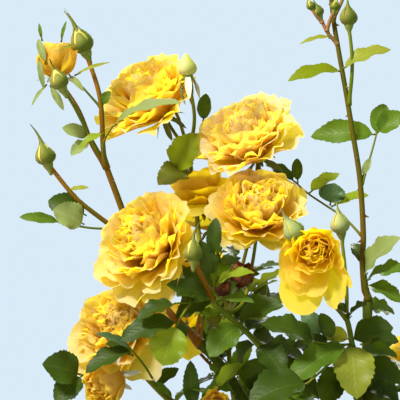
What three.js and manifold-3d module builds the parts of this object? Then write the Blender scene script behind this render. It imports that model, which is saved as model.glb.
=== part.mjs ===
// A yellow shrub rose about a metre tall, in millimetres, +Z up, seen from the front along +Y.
// The origin is the middle of the flat cut under the root stock, at ground level.
// Seven canes rise from the root stock, boughs leave them, and each limb ends 0.3 mm clear of the
// stem of one spray: a mass of twigs with its leaves, buds and blooms fused on.
import * as THREE from "three";
import { mergeVertices } from "three/addons/utils/BufferGeometryUtils.js";
import Module from "manifold-3d";

const wasm = await Module();
wasm.setup();
const { Manifold } = wasm;

// Driving dimensions
const GAP = 0.3; // between a limb and what it meets
const CLEARANCE = 0.8; // least distance between leaves of two masses
const STOCK_RADIUS = 30;
const STOCK_HEIGHT = 62;
const FLARE_RADIUS = 41;
const CANE_RING = 21; // how far from the middle of the stock the canes start
const CANE_SIDES = 6;
const STEM_SIDES = 4;
const TWIG_SIDES = 3;
const STEM_RADIUS = [3.1, 2.5]; // a spray's main stem, at its foot and at its tip
const TWIG_RADIUS = [2.5, 2.0];
const LEAF_TWIG_RADIUS = [2.2, 1.7];
const LEAF_THICKNESS = 1.8;
const LEAF_BAND = 2.6; // width of the stalk that carries the leaflets of one leaf
const LEAF_SINK = 0.6; // how far a leaf's foot passes the middle of its twig
const LEAFLET_WIDTH = 0.6; // share of its length
const LEAFLET_WIDEST = 0.45;
const LEAFLET_ANGLE = 62; // between a side leaflet and the stalk
const PAIR_SIZES = [0.88, 0.78]; // a pair's leaflets, as shares of the end one, from the tip down
const PAIR_PLACES = [0.82, 0.36]; // where the pairs sit, as shares of the stalk
const LEAF_ARCH = 12;
const BLADE_ARCH = 0.14; // share of a single blade's length
const LEAF_FOLD = 0.12; // how steeply a leaf folds up at both sides
const LEAF_FALL = 1.3; // past 1, the tip hangs lower than the foot
const BLADE_FOOT = 3; // the stalk of a blade that sits on a twig by itself
const SMOOTHING = 0.45; // the most a fused spray is simplified by
const STRAIGHT_FOOT = 6; // a spray's stem first runs straight on from its limb
const GOLDEN_ANGLE = 137.5;

// Colours of the finishes
const FINISHES = {
  bark: { color: "#6f5a3a", roughness: 0.85 },
  green_stem: { color: "#6e7a34", roughness: 0.6 },
  foliage: { color: "#4f7326", roughness: 0.5 },
};

const vec = (x, y, z) => new THREE.Vector3(x, y, z);
const radians = THREE.MathUtils.degToRad;

// The front sprays are placed as they are seen: across and up from the middle of the view, and depth
// behind it, for an eye this far away that looks up by a small angle.
const EYE = { across: -90, height: 800, distance: 1200, pitch: radians(6) };
function seen([across, up, depth]) {
  const { distance, pitch } = EYE;
  const nearness = (distance + depth) / (distance - up * Math.sin(pitch));
  const eyeHeight = EYE.height - distance * Math.tan(pitch);
  const rise = up * Math.cos(pitch) + distance * Math.tan(pitch);
  return vec(EYE.across + across * nearness, depth, eyeHeight + nearness * rise);
}
function facing([across, up, depth]) {
  const [cos, sin] = [Math.cos(EYE.pitch), Math.sin(EYE.pitch)];
  return vec(across, depth * cos - up * sin, up * cos + depth * sin).normalize();
}

// A seeded series of numbers from 0 to 1
function series(seed) {
  let state = (seed * 7919 + 12345) >>> 0;
  return () => {
    state = (Math.imul(state, 1664525) + 1013904223) >>> 0;
    return state / 4294967296;
  };
}

// A direction from its bearing round the vertical and its height above the level, in degrees
function heading(bearing, height) {
  const b = radians(bearing);
  const h = radians(height);
  return vec(Math.cos(b) * Math.cos(h), Math.sin(b) * Math.cos(h), Math.sin(h));
}

// A direction at right angles to an axis, turned round it by an angle in degrees
function sideways(axis, turn) {
  const level = Math.abs(axis.z) > 0.9 ? vec(1, 0, 0) : vec(0, 0, 1);
  const first = level.cross(axis).normalize();
  return first.applyAxisAngle(axis, radians(turn));
}

const curveThrough = (points) => new THREE.CatmullRomCurve3(points, false, "catmullrom", 0.5);

// Solids
function solidOf(geometry) {
  geometry.deleteAttribute("normal");
  geometry.deleteAttribute("uv");
  const merged = mergeVertices(geometry, 1e-3);
  return new Manifold(
    new wasm.Mesh({
      numProp: 3,
      vertProperties: merged.attributes.position.array,
      triVerts: new Uint32Array(merged.index.array),
    }),
  );
}

function moveVertices(geometry, place) {
  const position = geometry.attributes.position;
  for (let i = 0; i < position.count; i++) {
    const moved = place(vec(position.getX(i), position.getY(i), position.getZ(i)));
    position.setXYZ(i, moved.x, moved.y, moved.z);
  }
  return geometry;
}

// A round limb that tapers along a curve
function limbSolid(curve, [footRadius, tipRadius], sides, steps, thicker = 0) {
  const frames = curve.computeFrenetFrames(steps, false);
  const rod = new THREE.CylinderGeometry(1, 1, 1, sides, steps);
  const bent = moveVertices(rod, (p) => {
    const along = p.y + 0.5;
    const step = Math.round(along * steps);
    const radius = THREE.MathUtils.lerp(footRadius, tipRadius, along) + thicker;
    return curve
      .getPointAt(along)
      .addScaledVector(frames.normals[step], p.x * radius)
      .addScaledVector(frames.binormals[step], -p.z * radius);
  });
  return solidOf(bent);
}

// The outline of a leaf, flat: leaflets in pairs along a stalk, and one at its end
function leafOutline(stalk, blade, width, pairs) {
  const half = LEAF_BAND / 2;
  const aside = radians(LEAFLET_ANGLE);
  const edge = [];
  for (let pair = pairs - 1; pair >= 0; pair--) {
    const size = blade * PAIR_SIZES[pair];
    const foot = stalk * PAIR_PLACES[pair];
    const place = (along, across) => [
      foot + along * Math.cos(aside) + across * Math.sin(aside),
      half / 2 + along * Math.sin(aside) - across * Math.cos(aside),
    ];
    const wide = (width / 2) * (size / blade);
    edge.push([foot - half, half], place(size * LEAFLET_WIDEST, -wide));
    edge.push(place(size, 0), place(size * LEAFLET_WIDEST, wide));
  }
  edge.push([stalk, half], [stalk + blade * LEAFLET_WIDEST, width / 2]);
  const mirrored = edge.map(([x, y]) => [x, -y]).reverse();
  return [[-LEAF_SINK, 0], ...edge, [stalk + blade, 0], ...mirrored].reverse();
}

// A leaf: its outline given a thickness, arched along its length and folded up at both sides
function leafSolid({ root, direction, stalk, blade, width, pairs, face, arch }) {
  const across = face.clone().cross(direction).normalize();
  const up = direction.clone().cross(across);
  const outline = leafOutline(stalk, blade, width, pairs).map(([x, y]) => new THREE.Vector2(x, y));
  const plate = { depth: LEAF_THICKNESS, bevelEnabled: false };
  const flat = new THREE.ExtrudeGeometry(new THREE.Shape(outline), plate);
  const bent = moveVertices(flat, (p) => {
    const share = p.x / (stalk + blade);
    const bow = 2 * arch * share * (1 - LEAF_FALL * share);
    const lift = p.z - LEAF_THICKNESS / 2 + bow + LEAF_FOLD * Math.abs(p.y);
    const beside = root.clone().addScaledVector(direction, p.x).addScaledVector(across, p.y);
    return beside.addScaledVector(up, lift);
  });
  return solidOf(bent);
}

// Turns a lathe's +Y to a direction and moves its foot to a place
function stand(geometry, foot, direction) {
  const turn = new THREE.Quaternion().setFromUnitVectors(vec(0, 1, 0), direction);
  return geometry.applyQuaternion(turn).translate(foot.x, foot.y, foot.z);
}

// A bloom from its neck: shares of its diameter out from the axis and up along it, with a wavy edge
const BLOOM_PROFILE = [
  [0, -0.1],
  [0.1, -0.06],
  [0.42, 0.12],
  [0.5, 0.3],
  [0.34, 0.5],
  [0, 0.5],
];
const BLOOM_SEGMENTS = 8;
const BLOOM_LOBES = 3;
const BLOOM_WAVE = 0.07; // share of its radius
const WAVY_FROM = 0.3; // share of its diameter out from the axis
const BUD_SEGMENTS = 5;
function bloomSolid(neck, direction, diameter) {
  const profile = BLOOM_PROFILE.map(([out, up]) => new THREE.Vector2(out, up));
  const lathe = new THREE.LatheGeometry(profile, BLOOM_SEGMENTS);
  moveVertices(lathe, (p) => {
    const out = Math.hypot(p.x, p.z);
    const lobes = Math.cos(BLOOM_LOBES * Math.atan2(p.z, p.x));
    const wave = out > WAVY_FROM ? 1 + BLOOM_WAVE * lobes : 1;
    return vec(p.x * wave, p.y, p.z * wave).multiplyScalar(diameter);
  });
  return solidOf(stand(lathe, neck, direction));
}

// A closed bud from its neck, on its urn-shaped seed case, and the half-open flower it becomes
const BUD_PROFILE = [
  [0, -0.34],
  [0.22, -0.24],
  [0.24, -0.05],
  [0.47, 0.28],
  [0.24, 0.9],
  [0, 1.25],
];
const HALF_OPEN_PROFILE = [
  [0, -0.2],
  [0.15, -0.14],
  [0.15, 0.0],
  [0.47, 0.35],
  [0.42, 0.9],
  [0, 1.02],
];
function budSolid(neck, direction, diameter, outline) {
  const profile = outline.map(([out, up]) => new THREE.Vector2(out, up));
  const lathe = new THREE.LatheGeometry(profile, BUD_SEGMENTS);
  moveVertices(lathe, (p) => p.multiplyScalar(diameter));
  return solidOf(stand(lathe, neck, direction));
}

const TIP_SOLIDS = {
  bloom: bloomSolid,
  bud: (neck, direction, size) => budSolid(neck, direction, size, BUD_PROFILE),
  half_open: (neck, direction, size) => budSolid(neck, direction, size, HALF_OPEN_PROFILE),
  spent: (neck, direction, size) => budSolid(neck, direction, size, HALF_OPEN_PROFILE),
};

// The limbs: seven canes from the root stock and the boughs that leave them, to the sprays' feet.
// Each has its end, the direction it ends in, and its radius at its foot and at its tip.
const CANES = [
  {
    name: "cane_front_left",
    bearing: 150,
    end: seen([2, -131, 30]),
    ending: [-0.75, 0.3, 0.7],
    radius: [8, 4.2],
  },
  {
    name: "cane_front",
    bearing: 240,
    end: seen([68, -147, -16]),
    ending: [-0.6, 0, 0.75],
    radius: [7.5, 3.6],
  },
  {
    name: "cane_right",
    bearing: 330,
    end: seen([151, -92, 0]),
    ending: [0.05, 0, 1],
    radius: [8.5, 4.2],
  },
  {
    name: "cane_far_right",
    bearing: 20,
    end: vec(150, 40, 600),
    ending: [0.5, 0, 0.8],
    radius: [8, 4],
  },
  {
    name: "cane_back_right",
    bearing: 65,
    end: vec(100, 140, 490),
    ending: [0.3, 0.4, 0.8],
    radius: [7.5, 4],
  },
  {
    name: "cane_back",
    bearing: 108,
    end: vec(-45, 135, 570),
    ending: [-0.2, 0.3, 0.9],
    radius: [8, 4.2],
  },
  {
    name: "cane_back_left",
    bearing: 195,
    end: vec(-160, 80, 430),
    ending: [-0.5, 0.3, 0.7],
    radius: [7.5, 4],
  },
];
// A bough leaves its cane at a share of the cane's length.
const BOUGHS = [
  {
    name: "bough_lower_left",
    cane: "cane_front_left",
    leaves_at: 0.7,
    end: seen([-10, -196, 20]),
    ending: [-0.8, 0, 0.7],
    radius: [4.2, 3.4],
  },
  {
    name: "bough_front",
    cane: "cane_front",
    leaves_at: 0.45,
    end: vec(-5, -105, 430),
    ending: [0.1, -0.7, 0.6],
    radius: [4.6, 3.4],
  },
  {
    name: "bough_low_left",
    cane: "cane_back_left",
    leaves_at: 0.35,
    end: vec(-130, -50, 335),
    ending: [-0.7, -0.4, 0.6],
    radius: [4.6, 3.4],
  },
  {
    name: "bough_lower_right",
    cane: "cane_right",
    leaves_at: 0.66,
    end: seen([138, -138, -30]),
    ending: [-0.1, -0.2, 1],
    radius: [4.4, 3.4],
  },
  {
    name: "bough_right_front",
    cane: "cane_right",
    leaves_at: 0.36,
    end: vec(140, -75, 410),
    ending: [0.7, -0.4, 0.6],
    radius: [4.6, 3.4],
  },
  {
    name: "bough_right",
    cane: "cane_far_right",
    leaves_at: 0.42,
    end: vec(165, 90, 370),
    ending: [0.7, 0.2, 0.6],
    radius: [4.6, 3.4],
  },
  {
    name: "bough_back",
    cane: "cane_back",
    leaves_at: 0.45,
    end: vec(5, 175, 390),
    ending: [0.1, 0.7, 0.6],
    radius: [4.6, 3.4],
  },
  {
    name: "bough_middle",
    cane: "cane_back_right",
    leaves_at: 0.4,
    end: vec(15, 60, 400),
    ending: [-0.2, -0.1, 1],
    radius: [4.2, 3.4],
  },
  {
    name: "bough_skirt_right",
    cane: "cane_far_right",
    leaves_at: 0.2,
    end: vec(112, -12, 225),
    ending: [0.8, -0.2, 0.5],
    radius: [4.2, 3.4],
  },
  {
    name: "bough_skirt_left",
    cane: "cane_back_left",
    leaves_at: 0.2,
    end: vec(-105, 75, 220),
    ending: [-0.7, 0.5, 0.5],
    radius: [4.2, 3.4],
  },
  {
    name: "bough_skirt_front",
    cane: "cane_front",
    leaves_at: 0.18,
    end: vec(-45, -95, 215),
    ending: [-0.3, -0.8, 0.5],
    radius: [4.2, 3.4],
  },
];

// A limb leaves its foot in one direction and reaches its end in another, on one smooth bow. Each end
// runs straight for about a third of the way.
const RUN_OUT = 0.36;
const RUN_HOME = 0.34;
function limbCurve(foot, leaving, end, ending) {
  const reach = foot.distanceTo(end);
  const out = foot.clone().addScaledVector(leaving.clone().normalize(), reach * RUN_OUT);
  const home = end.clone().addScaledVector(ending.clone().normalize(), -reach * RUN_HOME);
  return new THREE.CubicBezierCurve3(foot, out, home, end);
}

const CANE_SLOPE = 66; // how steeply the canes leave the stock, in degrees
const CANE_DEPTH = 16; // how far under the top of the stock they start
const CANE_STEPS = 9;
const BOUGH_STEPS = 4;
const limbCurves = {};
for (const cane of CANES) {
  const foot = heading(cane.bearing, 0).multiplyScalar(CANE_RING).setZ(STOCK_HEIGHT - CANE_DEPTH);
  const leaving = heading(cane.bearing, CANE_SLOPE);
  limbCurves[cane.name] = limbCurve(foot, leaving, cane.end, vec(...cane.ending));
}
for (const bough of BOUGHS) {
  const cane = limbCurves[bough.cane];
  const foot = cane.getPointAt(bough.leaves_at);
  const towards = bough.end.clone().sub(foot).normalize();
  const leaving = cane.getTangentAt(bough.leaves_at).add(towards);
  limbCurves[bough.name] = limbCurve(foot, leaving, bough.end, vec(...bough.ending));
}

// The root stock: a flat cut at the ground, a root flare and a knobbly head
const STOCK_SEGMENTS = 14;
const STOCK_KNOBS = 7;
const KNOB_DEPTH = 0.07;
const KNOBS_FROM = 20; // the height by which the knobs are full
function stockSolid(thicker = 0) {
  const outline = [
    [0, 0],
    [FLARE_RADIUS, 0],
    [FLARE_RADIUS * 0.8, 12],
    [STOCK_RADIUS * 0.86, 26],
    [STOCK_RADIUS, 42],
    [STOCK_RADIUS * 0.93, STOCK_HEIGHT - 6],
    [STOCK_RADIUS * 0.6, STOCK_HEIGHT],
    [0, STOCK_HEIGHT + 2],
  ];
  const profile = outline.map(([out, up]) =>
    new THREE.Vector2(out > 0 ? out + thicker : 0, up > 0 ? up + thicker : 0));
  const lathe = new THREE.LatheGeometry(profile, STOCK_SEGMENTS);
  lathe.rotateX(Math.PI / 2);
  moveVertices(lathe, (p) => {
    const swell = Math.cos(STOCK_KNOBS * Math.atan2(p.y, p.x)) * Math.min(1, p.z / KNOBS_FROM);
    const knobs = 1 + KNOB_DEPTH * swell;
    return vec(p.x * knobs, p.y * knobs, p.z);
  });
  return solidOf(lathe);
}

// What each solid may not touch
const finished = [];
const boxOf = (solid) => solid.boundingBox();
function near(a, b, margin) {
  return [0, 1, 2].every((i) => a.min[i] - margin < b.max[i] && b.min[i] - margin < a.max[i]);
}
function touched(solid) {
  const box = boxOf(solid);
  return finished.some((other) =>
    near(box, other.box, CLEARANCE) && solid.minGap(other.solid, CLEARANCE) < CLEARANCE);
}

const bush = new THREE.Group();
function addNode(name, solid, finish) {
  const mesh = solid.getMesh();
  const geometry = new THREE.BufferGeometry();
  geometry.setAttribute("position", new THREE.BufferAttribute(mesh.vertProperties, 3));
  geometry.setIndex(new THREE.BufferAttribute(mesh.triVerts, 1));
  const material = new THREE.MeshStandardMaterial({ metalness: 0, ...FINISHES[finish] });
  const node = new THREE.Mesh(geometry, material);
  node.name = name;
  bush.add(node);
  finished.push({ name, solid, box: boxOf(solid) });
}
const largestBody = (solid) =>
  solid.decompose().reduce((best, body) => (body.volume() > best.volume() ? body : best));

// Root stock, canes and boughs
addNode("root_stock", stockSolid(), "bark");
for (const cane of CANES) {
  const rod = limbSolid(limbCurves[cane.name], cane.radius, CANE_SIDES, CANE_STEPS);
  addNode(cane.name, largestBody(rod.subtract(stockSolid(GAP))), "bark");
}
for (const bough of BOUGHS) {
  const cane = CANES.find((each) => each.name === bough.cane);
  const rod = limbSolid(limbCurves[bough.name], bough.radius, CANE_SIDES, BOUGH_STEPS);
  const hollow = limbSolid(limbCurves[bough.cane], cane.radius, CANE_SIDES, CANE_STEPS, GAP);
  addNode(bough.name, largestBody(rod.subtract(hollow)), "green_stem");
}

// The sprays at the front, as they are seen. A stem or twig is a list of places; a twig starts on the
// stem or on another twig. A blade has its root, its tip, its width and the side it shows: up, or
// towards the eye.
const FRONT_SPRAYS = [
  {
    name: "spray_middle_blooms",
    limb: "cane_front",
    stem: [
      [58, -136, -17], [40, -117, -20], [24, -103, -24], [11, -89, -26], [2, -60, 12], [-3, -12, 42],
      [-10, 42, 50],
    ],
    twigs: [
      {
        path: [[11, -89, -26], [-1, -64, -54], [-6, -54, -60]],
        tip: "bud",
        size: 17,
        facing: [0, 1, -0.1],
      },
      {
        path: [[-10, 42, 50], [-24, 60, 66], [-36, 76, 66]],
        tip: "bloom",
        size: 95,
        facing: [-0.5, 0.6, -0.65],
      },
      { path: [[-10, 42, 50], [-5, 74, 26], [-11, 112, 15]], tip: "bud", size: 19, facing: [-0.1, 1, 0] },
      { path: [[-10, 42, 50], [-20, 75, 82], [-36, 104, 84]], tip: "bud", size: 17, facing: [-0.2, 1, 0] },
      { path: [[-3, -12, 42], [3, -9, 52]], tip: "bloom", size: 80, facing: [-0.1, 0.95, 0.1] },
      {
        path: [[6, -75, -5], [-10, -64, 2], [-32, -49, 0]],
        tip: "bloom",
        size: 112,
        facing: [-0.55, 0.45, -0.7],
      },
      {
        path: [[24, -103, -24], [39, -92, -10], [47, -58, 8], [52, -24, 7]],
        tip: "bloom",
        size: 102,
        facing: [0, 0.7, -0.7],
      },
      {
        path: [[24, -103, -24], [34, -74, 22], [48, -16, 40], [53, 37, 30]],
        tip: "bloom",
        size: 112,
        facing: [-0.35, 0.8, -0.5],
      },
      {
        path: [[24, -103, -24], [33, -95, 2], [36, -82, 8]],
        tip: "spent",
        size: 26,
        facing: [0.3, 1, -0.5],
      },
      { path: [[11, -89, -26], [13, -70, -44], [12, -48, -52]], tip: "leaf" },
      { path: [[11, -89, -26], [-8, -92, -44], [-22, -93, -52]], tip: "leaf" },
      { path: [[-8, -92, -44], [-16, -104, -50], [-21, -113, -54]], tip: "leaf" },
      { path: [[-3, -12, 42], [-7, 10, 36], [-14, 24, 30]], tip: "leaf" },
      { path: [[-10, 42, 50], [0, 58, 44], [3, 72, 36]], tip: "leaf" },
    ],
    blades: [
      [[34, -112, -22], [72, -92, -46], 24, "up"],
      [[52, -130, -18], [76, -155, -42], 22, "up"],
      [[36, -113, -22], [8, -137, -45], 24, "up"],
      [[12, -50, -52], [14, -16, -57], 12, "eye"],
      [[13, -68, -45], [1, -38, -62], 14, "eye"],
      [[14, -76, -38], [46, -62, -58], 15, "up"],
      [[16, -91, -28], [47, -89, -54], 13, "up"],
      [[8, -88, -32], [-26, -75, -60], 18, "eye"],
      [[-22, -93, -52], [-56, -105, -66], 17, "up"],
      [[-6, -92, -43], [-19, -84, -70], 14, "up"],
      [[-21, -112, -54], [-34, -148, -62], 29, "eye"],
      [[-20, -110, -53], [-72, -121, -64], 20, "up"],
      [[-23, 25, 30], [-3, 60, 16], 27, "eye"],
      [[-10, 31, 34], [-37, 16, 16], 23, "eye"],
      [[3, 70, 37], [5, 96, 32], 12, "eye"],
    ],
  },
  {
    name: "spray_left_buds",
    limb: "cane_front_left",
    stem: [[-9, -119, 42], [-32, -95, 64], [-58, -46, 66], [-70, -9, 54], [-84, 29, 42]],
    twigs: [
      {
        path: [[-84, 29, 42], [-97, 50, 32], [-110, 82, 24], [-129, 110, 18]],
        tip: "half_open",
        size: 38,
        facing: [0.0, 1, -0.1],
      },
      {
        path: [[-84, 29, 42], [-87, 45, 32], [-90, 92, 18], [-103, 134, 14]],
        tip: "bud",
        size: 21,
        facing: [-0.45, 0.9, 0],
      },
      {
        path: [[-62, -36, 64], [-76, -26, 54], [-104, -5, 42], [-118, 9, 38], [-137, 33, 32]],
        tip: "bud",
        size: 18,
        facing: [-0.45, 1, 0],
      },
      { path: [[-84, 29, 42], [-87, 50, 14], [-79, 66, -14]], tip: "leaf" },
      { path: [[-76, -26, 54], [-100, -25, 42], [-126, -20, 34]], tip: "leaf" },
    ],
    blades: [
      [[-79, 66, -14], [-22, 97, -50], 16, "up"],
      [[-86, 60, 0], [-110, 48, -8], 9, "up"],
      [[-104, -22, 40], [-131, -8, 28], 24, "eye"],
      [[-126, -20, 34], [-162, -14, 24], 9, "eye"],
      [[-100, 56, 31], [-123, 66, 20], 12, "eye"],
      [[-99, 53, 32], [-116, 42, 20], 11, "eye"],
      [[-32, -95, 64], [-62, -78, 96], 20, "up"],
    ],
  },
  {
    name: "spray_right_shoot",
    limb: "cane_right",
    stem: [
      [149, -82, 0], [146, -55, 0], [147, -32, 0], [144, 18, 0], [137, 63, 0], [131, 99, 0],
      [125, 133, 0], [120, 163, 0], [117, 194, 0],
    ],
    twigs: [
      {
        path: [[134, 85, 0], [137, 122, -8], [134, 158, -10]],
        tip: "bud",
        size: 16,
        facing: [-0.05, 1, 0],
      },
      { path: [[124, 140, 0], [114, 152, -4], [108, 166, -6]], tip: "bud", size: 10, facing: [-0.4, 1, 0] },
      { path: [[120, 163, 0], [128, 180, 6], [130, 192, 8]], tip: "bud", size: 11, facing: [0.2, 1, 0] },
      { path: [[117, 194, 0], [116, 202, 0]], tip: "bud", size: 15, facing: [-0.1, 1, 0] },
      { path: [[147, -34, 0], [131, -17, 6], [115, -6, 14], [97, 6, 20], [86, 16, 26]], tip: "leaf" },
      { path: [[146, 14, 0], [155, 45, 5], [159, 60, 6]], tip: "leaf" },
    ],
    blades: [
      [[86, 16, 26], [60, 34, 34], 13, "up"],
      [[88, 15, 25], [87, 38, 26], 9, "eye"],
      [[98, 6, 20], [125, 27, 24], 14, "up"],
      [[117, -5, 13], [121, 15, 8], 22, "eye"],
      [[118, -6, 13], [151, 7, 10], 10, "up"],
      [[158, 59, 6], [99, 60, 18], 21, "eye"],
      [[158, 58, 6], [165, 88, 12], 15, "eye"],
      [[159, 60, 6], [182, 79, -4], 18, "eye"],
      [[128, 116, 0], [80, 113, -16], 15, "up"],
      [[128, 118, -8], [170, 140, -16], 17, "up"],
      [[148, -70, 0], [174, -31, -36], 21, "up"],
      [[149, -73, 0], [184, -58, -40], 18, "up"],
      [[149, -77, 0], [181, -88, -26], 15, "up"],
      [[147, -60, 0], [138, -36, 20], 12, "up"],
    ],
  },
  {
    name: "spray_lower_right",
    limb: "bough_lower_right",
    stem: [[137, -130, -31], [132, -107, -36], [121, -86, -48]],
    twigs: [
      {
        path: [[121, -86, -48], [112, -68, -54], [104, -53, -56]],
        tip: "bloom",
        size: 68,
        facing: [-0.25, 0.15, -0.95],
      },
      {
        path: [[132, -107, -36], [132, -81, -20], [130, -56, -16], [127, -29, -16]],
        tip: "bud",
        size: 19,
        facing: [-0.15, 1, 0],
      },
      {
        path: [[132, -107, -36], [116, -88, -30], [98, -52, -60], [88, -34, -66]],
        tip: "bud",
        size: 20,
        facing: [-0.5, 0.8, -0.1],
      },
      { path: [[137, -130, -31], [120, -130, -36], [104, -128, -42]], tip: "leaf" },
      { path: [[137, -130, -31], [118, -146, -52], [97, -165, -62]], tip: "leaf" },
    ],
    blades: [
      [[104, -128, -42], [58, -108, -56], 25, "up"],
      [[97, -165, -62], [44, -178, -76], 30, "up"],
      [[132, -130, -36], [78, -162, -58], 25, "up"],
      [[136, -130, -34], [141, -176, -62], 31, "eye"],
      [[136, -126, -33], [109, -118, -20], 14, "eye"],
      [[136, -126, -33], [172, -112, -48], 23, "up"],
      [[133, -108, -36], [148, -92, -58], 14, "up"],
    ],
  },
  {
    name: "spray_lower_left",
    limb: "bough_lower_left",
    stem: [[-18, -189, 20], [-36, -173, 20], [-54, -154, 26]],
    twigs: [
      {
        path: [[-54, -154, 26], [-60, -138, 36], [-64, -124, 38]],
        tip: "bloom",
        size: 100,
        facing: [-0.35, 0.55, -0.75],
      },
      {
        path: [[-54, -154, 26], [-66, -157, 6], [-76, -156, -8]],
        tip: "half_open",
        size: 40,
        facing: [-0.5, -0.3, -0.8],
      },
      {
        path: [[-18, -189, 20], [0, -194, 4], [12, -192, -4]],
        tip: "half_open",
        size: 30,
        facing: [0.2, 0.6, -0.8],
      },
      { path: [[-54, -154, 26], [-84, -162, 6], [-108, -157, -10]], tip: "leaf" },
      { path: [[-36, -173, 20], [-48, -152, -18], [-62, -134, -34]], tip: "leaf" },
    ],
    blades: [
      [[-108, -157, -10], [-140, -147, -30], 27, "eye"],
      [[-106, -158, -9], [-130, -180, -26], 21, "eye"],
      [[-61, -135, -34], [-104, -152, -44], 18, "up"],
      [[-62, -134, -34], [-92, -118, -46], 9, "up"],
      [[-6, -188, 10], [-9, -146, -4], 13, "eye"],
      [[0, -186, 4], [34, -150, -12], 15, "up"],
    ],
  },
];

// The other sprays grow by rule. Each keeps inside its own space, round a heart.
const GROWN_SPRAYS = [
  {
    name: "spray_far_right",
    limb: "cane_far_right",
    heart: [215, 45, 680],
    reach: 118,
    seed: 3,
    tips: ["bloom", "bud", "bloom", "half_open"],
  },
  {
    name: "spray_back_right",
    limb: "cane_back_right",
    heart: [165, 185, 640],
    reach: 125,
    seed: 8,
    tips: ["leaf", "bloom", "bud", "bloom"],
  },
  {
    name: "spray_back",
    limb: "cane_back",
    heart: [-60, 185, 700],
    reach: 108,
    seed: 5,
    tips: ["bloom", "bud", "bloom", "bloom"],
  },
  {
    name: "spray_back_left",
    limb: "cane_back_left",
    heart: [-215, 120, 515],
    reach: 118,
    seed: 14,
    tips: ["bloom", "half_open", "bloom", "leaf"],
  },
  {
    name: "spray_middle",
    limb: "bough_middle",
    heart: [5, 55, 500],
    reach: 105,
    seed: 21,
    tips: ["leaf", "bud", "leaf"],
  },
  {
    name: "spray_low_front",
    limb: "bough_front",
    heart: [-20, -150, 480],
    reach: 112,
    seed: 33,
    tips: ["bud", "bloom", "leaf", "leaf"],
  },
  {
    name: "spray_low_left",
    limb: "bough_low_left",
    heart: [-205, -70, 400],
    reach: 118,
    seed: 41,
    tips: ["bloom", "bud", "leaf", "bloom"],
  },
  {
    name: "spray_low_right_front",
    limb: "bough_right_front",
    heart: [190, -110, 480],
    reach: 118,
    seed: 52,
    tips: ["bloom", "leaf", "bloom", "bud"],
  },
  {
    name: "spray_low_right",
    limb: "bough_right",
    heart: [230, 110, 420],
    reach: 118,
    seed: 61,
    tips: ["leaf", "bloom", "bud", "leaf"],
  },
  {
    name: "spray_low_back",
    limb: "bough_back",
    heart: [20, 235, 470],
    reach: 118,
    seed: 77,
    tips: ["bloom", "leaf", "bud", "bloom"],
  },
  {
    name: "spray_skirt_right",
    limb: "bough_skirt_right",
    heart: [170, -30, 290],
    reach: 105,
    seed: 84,
    tips: ["leaf", "leaf", "bud"],
  },
  {
    name: "spray_skirt_left",
    limb: "bough_skirt_left",
    heart: [-155, 105, 285],
    reach: 105,
    seed: 92,
    tips: ["leaf", "bud", "leaf"],
  },
  {
    name: "spray_skirt_front",
    limb: "bough_skirt_front",
    heart: [-55, -150, 280],
    reach: 105,
    seed: 97,
    tips: ["bud", "leaf", "leaf"],
  },
];
const GROWN_TIP_SIZES = { bloom: 86, bud: 17, half_open: 36, leaf: 0 };
const TIP_SPREAD = 0.15; // how much sizes of one kind differ, as a share of their middle
const LEAF_SPREAD = 0.3;
const LEAF_SPACING = 56;
const LEAF_STALK = 46;
const BLADE_LENGTH = 40;
const FIRST_LEAF = 0.6; // from the foot of the stem, in steps
const LAST_LEAF = 0.75; // from the tip of the stem, in steps
const LEAF_LEAN = 0.45; // along the stem
const LEAF_RISE = 0.12;
const STEM_BEND = 0.5; // where a spray's stem turns to its heart, as a share of the way
const STEM_TOP = 0.3; // how far the stem passes the heart, as a share of the spray's reach
const FIRST_TWIG = 0.4; // share of the stem that bears no twigs
const TWIG_LENGTH = 0.57; // share of the spray's reach
const TWIG_SPREAD = 0.25;
const TWIG_SLOPE = 40; // in degrees
const TWIG_SLOPE_SPREAD = 0.75;
const TWIG_TURN = 30; // by how much the twigs stray from their even turns, in degrees
const SEED_TURN = 40; // so that the first twigs of two sprays point different ways
const TWIG_SAG = 0.05; // share of its length
const TWIG_OUTWARD = 0.5;
const TWIG_UPWARD = 0.3;
const TIP_UPWARD = 0.35;

// A point belongs to the spray whose sphere it is deepest in
const spheres = GROWN_SPRAYS.map(({ name, heart, reach }) => ({ name, heart: vec(...heart), reach }));
const depthIn = (sphere, point) => sphere.heart.distanceToSquared(point) - sphere.reach ** 2;
function inOwnSpace(name, point) {
  const depths = spheres.map((sphere) => depthIn(sphere, point));
  const own = depths[spheres.findIndex((sphere) => sphere.name === name)];
  return own < 0 && depths.every((depth) => depth >= own);
}

// A size that differs from one thing to the next, by a share of the middle one
const varied = (size, spread, random) => size * (1 - spread / 2 + spread * random());

// Leaves at even steps along a stem, each a golden angle round from the last
function leavesAlong(curve, turn, random) {
  const leaves = [];
  const number = Math.floor(curve.getLength() / LEAF_SPACING);
  for (let i = 0; i < number; i++) {
    const along = (i + FIRST_LEAF) / (number - 1 + FIRST_LEAF + LAST_LEAF);
    const axis = curve.getTangentAt(along);
    const out = sideways(axis, turn + i * GOLDEN_ANGLE);
    const direction = out.addScaledVector(axis, LEAF_LEAN).add(vec(0, 0, LEAF_RISE)).normalize();
    const stalk = varied(LEAF_STALK, LEAF_SPREAD, random);
    const root = curve.getPointAt(along);
    const blade = varied(BLADE_LENGTH, LEAF_SPREAD, random);
    leaves.push({
      root,
      direction,
      stalk,
      blade,
      width: blade * LEAFLET_WIDTH,
      pairs: 1,
      face: vec(0, 0, 1).addScaledVector(direction, -direction.z).normalize(),
      arch: LEAF_ARCH,
    });
  }
  return leaves;
}

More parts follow.
